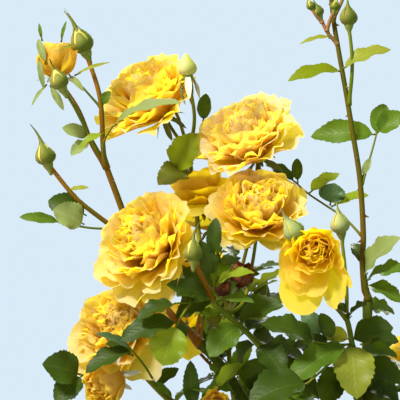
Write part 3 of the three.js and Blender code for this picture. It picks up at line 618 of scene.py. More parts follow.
def add_leaflets(shape, leaflets, stations, teeth=LEAF_TEETH):
    """Leaflets: each lies in the flat of its leaf, which arches and folds up at both sides."""
    if not leaflets:
        return
    along, across, notch, faces = leaflet_grid(stations)
    row = {key: np.array([each[key] for each in leaflets]) for key in leaflets[0]}
    one = {key: value[:, None] for key, value in row.items() if value.ndim == 1}
    outline = along**FOOT_SHARPNESS * (1 - along)**TIP_SHARPNESS
    outline = np.maximum(outline / outline.max(), LEAST_WIDTH * (1 - 0.8 * along))
    forward = along + (1 - notch) * (np.abs(across) == 1) * TOOTH_LEAN * teeth * np.sin(np.pi * along)
    side = across * outline * (1 - teeth * notch) * one["width"] / 2
    far = forward * one["length"]
    turn = np.radians(one["turn"])
    x = one["foot"] + far * np.cos(turn) - side * np.sin(turn)
    y = far * np.sin(turn) + side * np.cos(turn)
    share = x / one["total"]
    ripple = np.sin(along * one["ripples"] * FULL_TURN + one["phase"] + 2 * across)
    lift = (2 * one["arch"] * share * (1 - LEAF_FALL * share) + LEAF_FOLD * np.abs(y)
            + one["fold"] * np.abs(side) - one["curl"] * one["length"] * along**2
            + ripple * across**2 * outline * LEAF_RIPPLE * one["width"])
    twist = one["twist"] * along * side
    corners = (row["root"][:, None] + x[..., None] * row["direction"][:, None]
               + y[..., None] * row["across"][:, None] + (lift + twist)[..., None] * row["up"][:, None])
    pattern = np.broadcast_to(np.stack([along, across / 2 + 0.5], -1), (*x.shape, 2))
    shape.add_copies(corners, faces, pattern, row["tone"])


def leaflet(leaf, length, width, tone, random, foot=0, turn=0, curl=0.1, fold=0.2):
    """One leaflet of a leaf, with the small differences that leaves have."""
    return {
        **leaf, "foot": foot, "turn": turn, "length": length, "width": width, "tone": tone,
        "curl": curl * (0.5 + random.random()), "fold": fold * (0.4 + 1.2 * random.random()),
        "twist": random.uniform(-0.35, 0.35), "ripples": 1.5 + 1.5 * random.random(),
        "phase": random.uniform(0, PHASES),
    }


def leaf_frame(root, direction, face, total, arch):
    across = unit(np.cross(face, direction))
    return {"root": root, "direction": direction, "across": across,
            "up": np.cross(direction, across), "total": total, "arch": arch}


def grid_faces(rows, columns):
    """The faces between rows and columns of corners."""
    row, column = np.meshgrid(np.arange(rows), np.arange(columns), indexing="ij")
    start = row * (columns + 1) + column
    return np.stack([start, start + columns + 1, start + columns + 2, start + 1], -1).reshape(-1, 4)


def add_petals(shape, neck, axis, petals, rows, columns, tone):
    """Petals round an axis. Each leans out from it by three angles: at its foot, middle and tip."""
    row = {key: np.array([each[key] for each in petals], float)[:, None, None] for key in petals[0]}
    size = (len(petals), rows + 1, columns + 1)
    share = np.linspace(0, 1, rows + 1)[None, :, None]
    round_edge = np.linspace(-math.pi / 2, math.pi / 2, columns + 1)[None, None, :]
    aside = np.sin(round_edge)
    lean = np.radians((1 - share)**2 * row["foot"] + 2 * (1 - share) * share * row["middle"]
                      + share**2 * row["tip"])
    step = np.diff(share, axis=1)
    mean = (lean[:, 1:] + lean[:, :-1]) / 2
    foot = np.zeros((len(petals), 1, 1))
    out, up = (np.concatenate([foot, np.cumsum(part(mean) * step, axis=1)], axis=1)
               for part in (np.sin, np.cos))
    end = 1 - row["round"] * (1 - np.cos(round_edge)) - row["notch"] * np.exp(-(aside * 4)**2)
    place = np.broadcast_to(share * end, size)
    low = np.minimum((place * rows).astype(int), rows - 1)
    part = place * rows - low

    def along(line):
        """The line's value at each corner's place, which lies between two of its steps."""
        line = np.broadcast_to(line, (len(petals), rows + 1, 1))[..., 0]
        first, second = (np.take_along_axis(line, low.reshape(len(petals), -1) + more, 1).reshape(size)
                         for more in (0, 1))
        return first * (1 - part) + second * part

    reach, height, slope = along(out) * row["length"], along(up) * row["length"], along(lean)
    widening = np.sin(np.minimum(place / PETAL_WIDEST, 1) * np.pi / 2)
    side = row["width"] / 2 * (PETAL_FOOT + (1 - PETAL_FOOT) * widening) * aside
    waves = np.sin(aside * row["waves"] + row["phase"]) * place**2.5
    frill = np.sin(aside * row["waves"] * 1.7 + row["phase"] * 3) * place**5 * FRILL
    crease = np.sin(place * 8 + row["phase"] * 2 + aside * 2) * place * CREASE
    ruffle = row["ruffle"] * (waves + frill + crease)
    bend = row["cup"] * side**2 / row["width"] * (0.4 + 0.6 * place) + ruffle
    reach = row["start"] + reach - bend * np.cos(slope)
    height = row["height"] + height + bend * np.sin(slope)
    side = side + row["skew"] * place**2
    first, second = square_to(axis)
    turn = np.radians(row["turn"])
    x = reach * np.cos(turn) - side * np.sin(turn)
    y = reach * np.sin(turn) + side * np.cos(turn)
    corners = neck + x[..., None] * first + y[..., None] * second + height[..., None] * axis
    corners[..., 2] -= row["droop"] * place**2
    # The share towards the rim, which the finish makes pale, partly as a painted highlight
    rim = np.broadcast_to(share + (1 - share) * share * np.abs(aside)**6, size)
    pattern = np.stack([rim, np.broadcast_to(row["open"], size)], -1)
    shape.add_copies(corners.reshape(len(petals), -1, 3), [grid_faces(rows, columns)],
                     pattern.reshape(len(petals), -1, 2), [tone] * len(petals))


def bloom_petals(size, most, random, fullness, spread, droop, ragged):
    """The petals of a full bloom, from the curled ones in its middle to the guard petals outside."""
    petals = []
    count = round(most * fullness)
    for i in range(count):
        o = i / (count - 1)
        petals.append({
            "open": o, "turn": i * GOLDEN_ANGLE + random.uniform(-24, 24),
            "foot": (14 + 54 * o) * spread + random.uniform(-9, 9),
            "middle": (2 + 50 * o) * spread + random.uniform(-11, 11),
            "tip": (-48 + 126 * o**1.4) * spread + random.uniform(-28, 22) * (1 - 0.6 * o),
            "length": size * (0.42 + 0.13 * o) * random.uniform(0.94, 1.05),
            "width": size * (0.16 + 0.24 * o) / fullness**0.5 * random.uniform(0.85, 1.15),
            "start": size * 0.02, "height": size * 0.03 * (1 - o),
            "cup": (1.4 - 0.9 * o) * random.uniform(0.5, 1.4),
            "ruffle": size * (0.028 - 0.005 * o) * ragged, "waves": random.uniform(3.5, 8),
            "phase": random.uniform(0, PHASES), "round": random.uniform(0.22, 0.42),
            "notch": random.choice((0, 0, 0.05, 0.1)), "skew": size * random.uniform(-0.07, 0.07),
            "droop": droop * size * max(0, o - 0.7) * random.uniform(0.5, 1.5),
        })
    return petals


def half_open_petals(size, random, crumple=1.0):
    """The petals of a flower that is half open, wrapped round each other in a ruffled ball."""
    petals = []
    for i in range(HALF_OPEN_PETALS):
        o = i / (HALF_OPEN_PETALS - 1)
        petals.append({
            "open": o, "turn": i * GOLDEN_ANGLE + random.uniform(-25, 25),
            "foot": 30 + 55 * o, "middle": 20 * o + random.uniform(-8, 8),
            "tip": -30 - 12 * o + random.uniform(-22, 34),
            "length": size * (0.88 + 0.12 * o) * random.uniform(0.88, 1.06),
            "width": size * (0.36 + 0.3 * o), "start": size * 0.05, "height": 0,
            "cup": random.uniform(0.6, 1.3), "ruffle": size * 0.05 * crumple,
            "waves": random.uniform(4, 7), "phase": random.uniform(0, PHASES),
            "round": random.uniform(0.16, 0.36), "notch": random.choice((0, 0.06, 0.12)),
            "skew": size * random.uniform(-0.12, 0.12), "droop": 0,
        })
    return petals


# Outlines of a seed case and a bud, as shares of the bud's size out and up
SEED_CASE = [(0, -0.62), (0.075, -0.60), (0.10, -0.46), (0.15, -0.32), (0.215, -0.20), (0.26, -0.08),
             (0.26, 0.03), (0, 0.08)]
BUD_BODY = [(0, -0.02), (0.24, 0.0), (0.40, 0.12), (0.47, 0.30), (0.44, 0.50), (0.32, 0.72), (0.18, 0.92),
            (0.07, 1.06), (0, 1.1)]
# The sepals that wrap a bud: how far out and up each reaches, and how many degrees it spreads each way
BUD_WRAP = [(0.25, -0.02, 37), (0.41, 0.11, 37), (0.50, 0.30, 35), (0.475, 0.50, 31), (0.36, 0.72, 28),
            (0.20, 0.92, 30), (0.105, 1.06, 36), (0.065, 1.2, 40), (0.045, 1.38, 40), (0.02, 1.56, 40)]
WRAP_CORNERS = 5  # across each
SEPALS = 5
SEPAL_LENGTH = 1.5  # under an open flower, as a share of its seed case's size
SEPAL_FOLD = -0.5
SEPAL_STATIONS = 8
SEPAL_SEAT = 0.17  # how far from the axis a sepal starts, as a share of the bud's size
BUD_SIDES = 16
CASE_SIDES = 12


def sepals(neck, axis, size, length, lean, curl, tone, random, width=0.42, number=SEPALS):
    """Sepals round a neck: slim leaves that lie against a bud, or hang back from an open bloom."""
    made = []
    for i in range(number):
        outward = sideways(axis, i * 360 / number + random.uniform(-10, 10))
        tilt = math.radians(lean + random.uniform(-8, 8))
        direction = unit(axis * math.cos(tilt) + outward * math.sin(tilt))
        face = unit(outward * math.cos(tilt) - axis * math.sin(tilt))
        leaf = leaf_frame(neck + outward * size * SEPAL_SEAT, direction, face, length * size, 0.0)
        made.append(leaflet(leaf, length * size * random.uniform(0.85, 1.1), width * size,
                            tone, random, curl=curl, fold=SEPAL_FOLD))
    return made


def add_bud_wrap(shape, neck, axis, size, tone, random, reach):
    """Five sepals pressed to a bud, whose tips stand together above it, and reach up with age."""
    out, up, wide = np.array(BUD_WRAP).T
    across = np.linspace(-1, 1, WRAP_CORNERS)
    first, second = square_to(axis)
    bow = sideways(axis, random.uniform(0, 360)) * random.uniform(0.1, 0.4)
    copies = []
    for i in range(SEPALS):
        turn = i * 360 / SEPALS + random.uniform(-5, 5)
        angle = np.radians(turn + np.outer(wide, across))[..., None]
        radius = np.outer(out * size, 1.06 - 0.06 * across**2)[..., None]
        rise = (up + np.maximum(up - 1, 0) * reach) * random.uniform(0.92, 1.08)
        lean = bow + sideways(axis, turn) * random.uniform(-0.03, 0.05)
        line = neck + np.outer(rise, axis) * size + np.outer(np.maximum(rise - 1, 0)**2, lean) * size
        copies.append(line[:, None] + radius * (np.cos(angle) * first + np.sin(angle) * second))
    corners = np.array(copies).reshape(SEPALS, -1, 3)
    pattern = np.full((*corners.shape[:2], 2), 0.5)
    shape.add_copies(corners, [grid_faces(len(out) - 1, WRAP_CORNERS - 1)], pattern, [tone] * SEPALS)


def add_bud(shape, neck, axis, size, random, reach, tone):
    """A closed bud on its urn-shaped seed case, wrapped in five sepals with long tips."""
    add_turned(shape, neck, axis, SEED_CASE, size, BUD_SIDES, "seed_case")
    add_turned(shape, neck, axis, BUD_BODY, size, BUD_SIDES, "bud_yellow", 0.03)
    add_bud_wrap(shape, neck, axis, size, tone, random, reach)


def add_pale_bud(shape, neck, axis, size, random):
    """A fat pale bud, whose sepals have let go and hang down round its stalk."""
    add_turned(shape, neck, axis, SEED_CASE, size, CASE_SIDES, "seed_case")
    add_turned(shape, neck, axis, BUD_BODY, size, BUD_SIDES, "bud_green", 0.05)
    for tone, number in (("sepal_pale", 3), ("sepal_green", 2)):
        hung = sepals(neck, axis, size, 1.15, 148, -0.5, tone, random, 0.34, number)
        add_leaflets(shape, hung, SEPAL_STATIONS, NO_TEETH)


def add_calyx(shape, neck, axis, size, random, tone, lean, curl):
    """The seed case and the sepals that hang back under an open flower."""
    add_turned(shape, neck, axis, SEED_CASE, size, CASE_SIDES, "seed_case")
    hung = sepals(neck, axis, size, SEPAL_LENGTH, lean, curl, tone, random)
    add_leaflets(shape, hung, SEPAL_STATIONS, NO_TEETH)


def add_prickles(shape, curve, radii, spacing, tone, random):
    """Hooked prickles along a stem, which point down it a little."""
    number = int(curve.length / spacing)
    for i in range(number):
        share = (i + random.uniform(0.2, 0.8)) / number
        axis = curve.tangent(share)
        outward = sideways(axis, i * GOLDEN_ANGLE + random.uniform(-40, 40))
        across = np.cross(axis, outward) * PRICKLE_WIDTH / 2
        foot = curve.at(share) + outward * tapered(radii, share) * PRICKLE_SEAT
        long = random.uniform(*PRICKLE_LENGTHS)
        ring = [foot + axis * PRICKLE_RISE, foot + across, foot - axis * PRICKLE_DROP, foot - across]
        tip = foot + outward * long - axis * long * PRICKLE_HOOK
        faces = np.array([[0, 1, 4], [1, 2, 4], [2, 3, 4], [3, 0, 4], [0, 3, 2], [0, 2, 1]])
        shape.add(np.array([*ring, tip]), [faces], np.full((5, 2), 0.5), tone)


# The limbs: where each cane leaves the stock, where it ends, the direction it ends in and its radii
CANES = {
    "cane_front_left": (150, seen((2, -131, 30)), (-0.75, 0.3, 0.7), (8, 4.2)),
    "cane_front": (240, seen((68, -147, -16)), (-0.6, 0, 0.75), (7.5, 3.6)),
    "cane_right": (330, seen((151, -92, 0)), (0.05, 0, 1), (8.5, 4.2)),
    "cane_far_right": (20, vec(150, 40, 600), (0.5, 0, 0.8), (8, 4)),
    "cane_back_right": (65, vec(100, 140, 490), (0.3, 0.4, 0.8), (7.5, 4)),
    "cane_back": (108, vec(-45, 135, 570), (-0.2, 0.3, 0.9), (8, 4.2)),
    "cane_back_left": (195, vec(-160, 80, 430), (-0.5, 0.3, 0.7), (7.5, 4)),
}
# The boughs: the cane each leaves, at which share of its length, where the bough ends, the direction
# it ends in and the radius of its foot
BOUGHS = {
    "bough_lower_left": ("cane_front_left", 0.7, seen((-10, -196, 20)), (-0.8, 0, 0.7), 4.2),
    "bough_front": ("cane_front", 0.45, vec(-5, -105, 430), (0.1, -0.7, 0.6), 4.6),
    "bough_low_left": ("cane_back_left", 0.35, vec(-130, -50, 335), (-0.7, -0.4, 0.6), 4.6),
    "bough_lower_right": ("cane_right", 0.66, seen((138, -138, -30)), (-0.1, -0.2, 1), 4.4),
    "bough_right_front": ("cane_right", 0.36, vec(140, -75, 410), (0.7, -0.4, 0.6), 4.6),
    "bough_right": ("cane_far_right", 0.42, vec(165, 90, 370), (0.7, 0.2, 0.6), 4.6),
    "bough_back": ("cane_back", 0.45, vec(5, 175, 390), (0.1, 0.7, 0.6), 4.6),
    "bough_middle": ("cane_back_right", 0.4, vec(15, 60, 400), (-0.2, -0.1, 1), 4.2),
    "bough_skirt_right": ("cane_far_right", 0.2, vec(112, -12, 225), (0.8, -0.2, 0.5), 4.2),
    "bough_skirt_left": ("cane_back_left", 0.2, vec(-105, 75, 220), (-0.7, 0.5, 0.5), 4.2),
    "bough_skirt_front": ("cane_front", 0.18, vec(-45, -95, 215), (-0.3, -0.8, 0.5), 4.2),
}


def limb_curves():
    curves = {}
    for name, (bearing, end, ending, _) in CANES.items():
        foot = heading(bearing, 0) * CANE_RING
        foot[2] = STOCK_HEIGHT - CANE_DEPTH
        curves[name] = limb_curve(foot, heading(bearing, CANE_SLOPE), end, vec(*ending))
    for name, (cane, leaves_at, end, ending, _) in BOUGHS.items():
        foot = curves[cane].at(leaves_at)
        leaving = curves[cane].tangent(leaves_at) + unit(end - foot)
        curves[name] = limb_curve(foot, leaving, end, vec(*ending))
    return curves


LIMBS = limb_curves()


def deselect_all():
    if bpy.context.object and bpy.context.object.mode != "OBJECT":
        bpy.ops.object.mode_set(mode="OBJECT")
    bpy.ops.object.select_all(action="DESELECT")


def add_relief(piece, size, depth):
    """Raises a rough relief on a finished mesh, and applies it."""
    grain = bpy.data.textures.new(piece.name + "_relief", "CLOUDS")
    grain.noise_scale = size * MM
    relief = piece.modifiers.new("relief", "DISPLACE")
    relief.texture = grain
    relief.strength = depth * MM
    relief.mid_level = 0.5
    bpy.ops.object.modifier_apply(modifier=relief.name)


def finish_bark(piece, finish, node):
    piece.data.materials.append(finish)
    bpy.ops.object.shade_smooth()
    stand_for(piece, node)


def make_stock(finish):
    """The root stock: a cylinder drawn up from its flat foot, ring by ring, with a knobbly head."""
    deselect_all()
    bpy.ops.mesh.primitive_cylinder_add(vertices=STOCK_SIDES, radius=FLARE_RADIUS * MM,
                                        depth=FLARE_HEIGHT * MM, location=(0, 0, FLARE_HEIGHT / 2 * MM))
    stock = bpy.context.object
    stock.name = "stock_bark"
    bpy.ops.object.mode_set(mode="EDIT")
    bpy.ops.mesh.select_mode(type="FACE")
    bpy.ops.mesh.select_all(action="DESELECT")
    bpy.ops.object.mode_set(mode="OBJECT")
    for face in stock.data.polygons:
        face.select = face.normal.z > 0.9
    bpy.ops.object.mode_set(mode="EDIT")
    radius, height = FLARE_RADIUS, FLARE_HEIGHT
    for wide, high in STOCK_RINGS:
        rise = {"value": (0, 0, (high - height) * MM)}
        bpy.ops.mesh.extrude_region_move(TRANSFORM_OT_translate=rise)
        bpy.ops.transform.resize(value=(wide / radius, wide / radius, 1), center_override=(0, 0, high * MM))
        radius, height = wide, high
    bpy.ops.mesh.poke()
    bpy.ops.object.mode_set(mode="OBJECT")
    bpy.ops.object.transform_apply(location=True, rotation=True, scale=True)
    smooth = stock.modifiers.new("rounding", "SUBSURF")
    smooth.levels = smooth.render_levels = 1
    bpy.ops.object.modifier_apply(modifier=smooth.name)
    add_relief(stock, *STOCK_RELIEF)
    for corner in stock.data.vertices:
        corner.co.z = max(corner.co.z, 0)
    finish_bark(stock, finish, "root_stock")


def make_limb(name, radii, finish, knots):
    """A limb: a round rod along its curve, thickened at its knots, made a mesh with its bark's relief."""
    deselect_all()
    bpy.ops.curve.primitive_bezier_curve_add()
    rod = bpy.context.object
    rod.name = name + "_bark"
    rod.location = (0, 0, 0)
    line = rod.data
    line.splines.clear()
    line.dimensions = "3D"
    line.bevel_depth = MM
    line.bevel_resolution = ROD_ROUNDNESS
    line.use_fill_caps = True
    curve = LIMBS[name]
    number = int(curve.length / ROD_STEP)
    spline = line.splines.new("POLY")
    spline.points.add(number)
    for i, point in enumerate(spline.points):
        share = i / number
        knot = max(0, math.cos(share * knots * FULL_TURN)) ** KNOT_SHORTNESS
        point.co = (*(curve.at(share) * MM), 1)
        point.radius = tapered(radii, share) * (1 + KNOT_SIZE * knot)
    bpy.ops.object.convert(target="MESH")
    bark = bpy.context.object
    add_relief(bark, *LIMB_RELIEF)
    finish_bark(bark, finish, name)


# The sprays at the front, as they are seen. A stem has its limb, its tone and its places. A twig has
# its places and what it ends in, with the size, the way it faces, the twig's tone and, on a flower,
# the petals' tone. A blade has its root, its tip, its width, the side it shows and its tone.
SIDES = {"up": vec(0, -0.75, 0.8), "eye": vec(-0.1, -1, 0.35)}
# Where twigs part from the stems
CLUSTER_FORK = (24, -103, -24)
CLUSTER_HEART = (11, -89, -26)
CLUSTER_MIDDLE = (-3, -12, 42)
CLUSTER_TOP = (-10, 42, 50)
CLUSTER_LEAF = (-8, -92, -44)
BUDS_FORK = (-84, 29, 42)
BUDS_LEAF = (-76, -26, 54)
RIGHT_FOOT = (137, -130, -31)
RIGHT_FORK = (132, -107, -36)
RIGHT_TOP = (121, -86, -48)
LEFT_FOOT = (-18, -189, 20)
LEFT_LEAF = (-36, -173, 20)
LEFT_FORK = (-54, -154, 26)
FRONT_STEMS = {
    "spray_middle_blooms": ("cane_front", "green", [
        (58, -136, -17), (40, -117, -20), CLUSTER_FORK, CLUSTER_HEART, (2, -60, 12),
        CLUSTER_MIDDLE, CLUSTER_TOP,
    ]),
    "spray_left_buds": ("cane_front_left", "ripe", [
        (-9, -119, 42), (-32, -95, 64), (-58, -46, 66), (-70, -9, 54), BUDS_FORK,
    ]),
    "spray_right_shoot": ("cane_right", "shoot", [
        (149, -82, 0), (146, -55, 0), (147, -32, 0), (144, 18, 0), (137, 63, 0), (131, 99, 0),
        (125, 133, 0), (120, 163, 0), (117, 194, 0),
    ]),
    "spray_lower_right": ("bough_lower_right", "green", [
        RIGHT_FOOT, RIGHT_FORK, RIGHT_TOP,
    ]),
    "spray_lower_left": ("bough_lower_left", "green", [
        LEFT_FOOT, LEFT_LEAF, LEFT_FORK,
    ]),
}
FRONT_TWIGS = {
    "spray_middle_blooms": [
        ([CLUSTER_HEART, (-1, -64, -54), (-6, -54, -60)], "long_bud", 17, (0, 1, 0), "ripe"),
        ([CLUSTER_TOP, (-22, 59, 66), (-32, 75, 66)],
         "bloom", 116, (-0.52, 0.72, -0.48), "green", "butter"),
        ([CLUSTER_TOP, (-5, 74, 26), (-11, 112, 15)], "pale_bud", 19, (-0.1, 1, 0), "green"),
        ([CLUSTER_TOP, (-20, 75, 82), (-36, 104, 84)], "bud", 17, (-0.2, 1, 0), "green"),
        ([CLUSTER_MIDDLE, (3, -9, 52)], "bloom", 80, (-0.1, 0.95, 0.1), "green", "golden"),
        ([(6, -75, -5), (-10, -64, 2), (-32, -49, 0)],
         "bloom", 112, (-0.55, 0.45, -0.7), "green", "butter"),
        ([CLUSTER_FORK, (39, -92, -10), (47, -58, 8), (52, -24, 7)],
         "bloom", 102, (0, 0.7, -0.7), "green", "butter"),
        ([CLUSTER_FORK, (34, -74, 22), (48, -16, 40), (53, 37, 30)],
         "bloom", 114, (-0.42, 0.74, -0.55), "green", "cream"),
        ([CLUSTER_FORK, (33, -91, 2), (35, -77, 8)], "spent", 24, (0.3, 1, -0.5), "green", "spent"),
        ([CLUSTER_HEART, (13, -70, -44), (12, -48, -52)], "leaf"),
        ([CLUSTER_HEART, CLUSTER_LEAF, (-22, -93, -52)], "leaf"),
        ([CLUSTER_LEAF, (-16, -104, -50), (-21, -113, -54)], "leaf"),
        ([CLUSTER_MIDDLE, (-7, 10, 36), (-14, 24, 30)], "leaf"),
        ([CLUSTER_TOP, (0, 58, 44), (3, 72, 36)], "leaf"),
        ([CLUSTER_FORK, (23, -92, -6), (22, -86, 2)], "spent", 15, (-0.15, 1, -0.4), "green", "spent"),
        ([(14, -78, -38), (24, -70, -40), (30, -58, -44)], "leaf"),
    ],
    "spray_left_buds": [
        ([BUDS_FORK, (-97, 50, 32), (-110, 82, 24), (-129, 110, 18)],
         "half_open", 38, (0, 1, -0.1), "ripe", "amber"),
        ([BUDS_FORK, (-87, 45, 32), (-90, 92, 18), (-103, 134, 14)],
         "long_bud", 21, (-0.38, 0.9, 0), "ripe"),
        ([(-62, -36, 64), BUDS_LEAF, (-104, -5, 42), (-118, 9, 38), (-137, 33, 32)],
         "long_bud", 19, (-0.3, 1, 0), "ripe"),
        ([BUDS_FORK, (-87, 50, 14), (-79, 66, -14)], "leaf"),
        ([BUDS_LEAF, (-100, -25, 42), (-126, -20, 34)], "leaf"),
        ([(-86, 34, 40), (-98, 55, 26), (-113, 84, 8), (-124, 101, -4)], "bud", 17, (-0.4, 0.9, 0), "green"),
        ([(-90, 84, 20), (-99, 94, 16), (-106, 102, 12)], "leaf"),
    ],
    "spray_right_shoot": [
        ([(134, 85, 0), (137, 122, -8), (134, 158, -10)], "bud", 16, (-0.05, 1, 0), "green"),
        ([(124, 140, 0), (114, 152, -4), (108, 166, -6)], "bud", 10, (-0.4, 1, 0), "red"),
        ([(120, 163, 0), (128, 180, 6), (130, 192, 8)], "bud", 11, (0.2, 1, 0), "red"),
        ([(117, 194, 0), (116, 202, 0)], "bud", 15, (-0.1, 1, 0), "red"),
        ([(147, -34, 0), (131, -17, 6), (115, -6, 14), (97, 6, 20), (86, 16, 26)], "leaf"),
        ([(146, 14, 0), (155, 45, 5), (159, 60, 6)], "leaf"),
        ([(114, 152, -4), (117, 162, -6), (121, 171, -8)], "bud", 9, (0.2, 1, 0), "red"),
        ([(110, 160, -5), (104, 167, -8), (101, 172, -8)], "bud", 8, (-0.5, 1, 0), "red"),
    ],
    "spray_lower_right": [
        ([RIGHT_TOP, (113, -66, -54), (105, -46, -54)],
         "bloom", 66, (-0.22, 0.02, -0.98), "green", "golden"),
        ([RIGHT_FORK, (132, -81, -20), (130, -56, -16), (127, -29, -16)],
         "plump_bud", 17, (-0.15, 1, 0), "green"),
        ([RIGHT_FORK, (116, -88, -30), (98, -52, -60), (88, -34, -66)],
         "plump_bud", 18, (-0.5, 0.8, -0.1), "green"),
        ([RIGHT_FOOT, (120, -130, -36), (104, -128, -42)], "leaf"),
        ([RIGHT_FOOT, (118, -146, -52), (97, -165, -62)], "leaf"),
    ],
    "spray_lower_left": [
        ([LEFT_FORK, (-60, -138, 36), (-64, -124, 38)],
         "bloom", 100, (-0.35, 0.55, -0.75), "green", "peach"),
        ([LEFT_FORK, (-66, -157, 6), (-76, -156, -8)],
         "half_open", 40, (-0.5, -0.3, -0.8), "green", "amber"),
        ([LEFT_FOOT, (0, -194, 4), (12, -192, -4)],
         "half_open", 30, (0.2, 0.6, -0.8), "green", "amber"),
        ([LEFT_FORK, (-84, -162, 6), (-108, -157, -10)], "leaf"),
        ([LEFT_LEAF, (-48, -152, -18), (-62, -134, -34)], "leaf"),
    ],
}
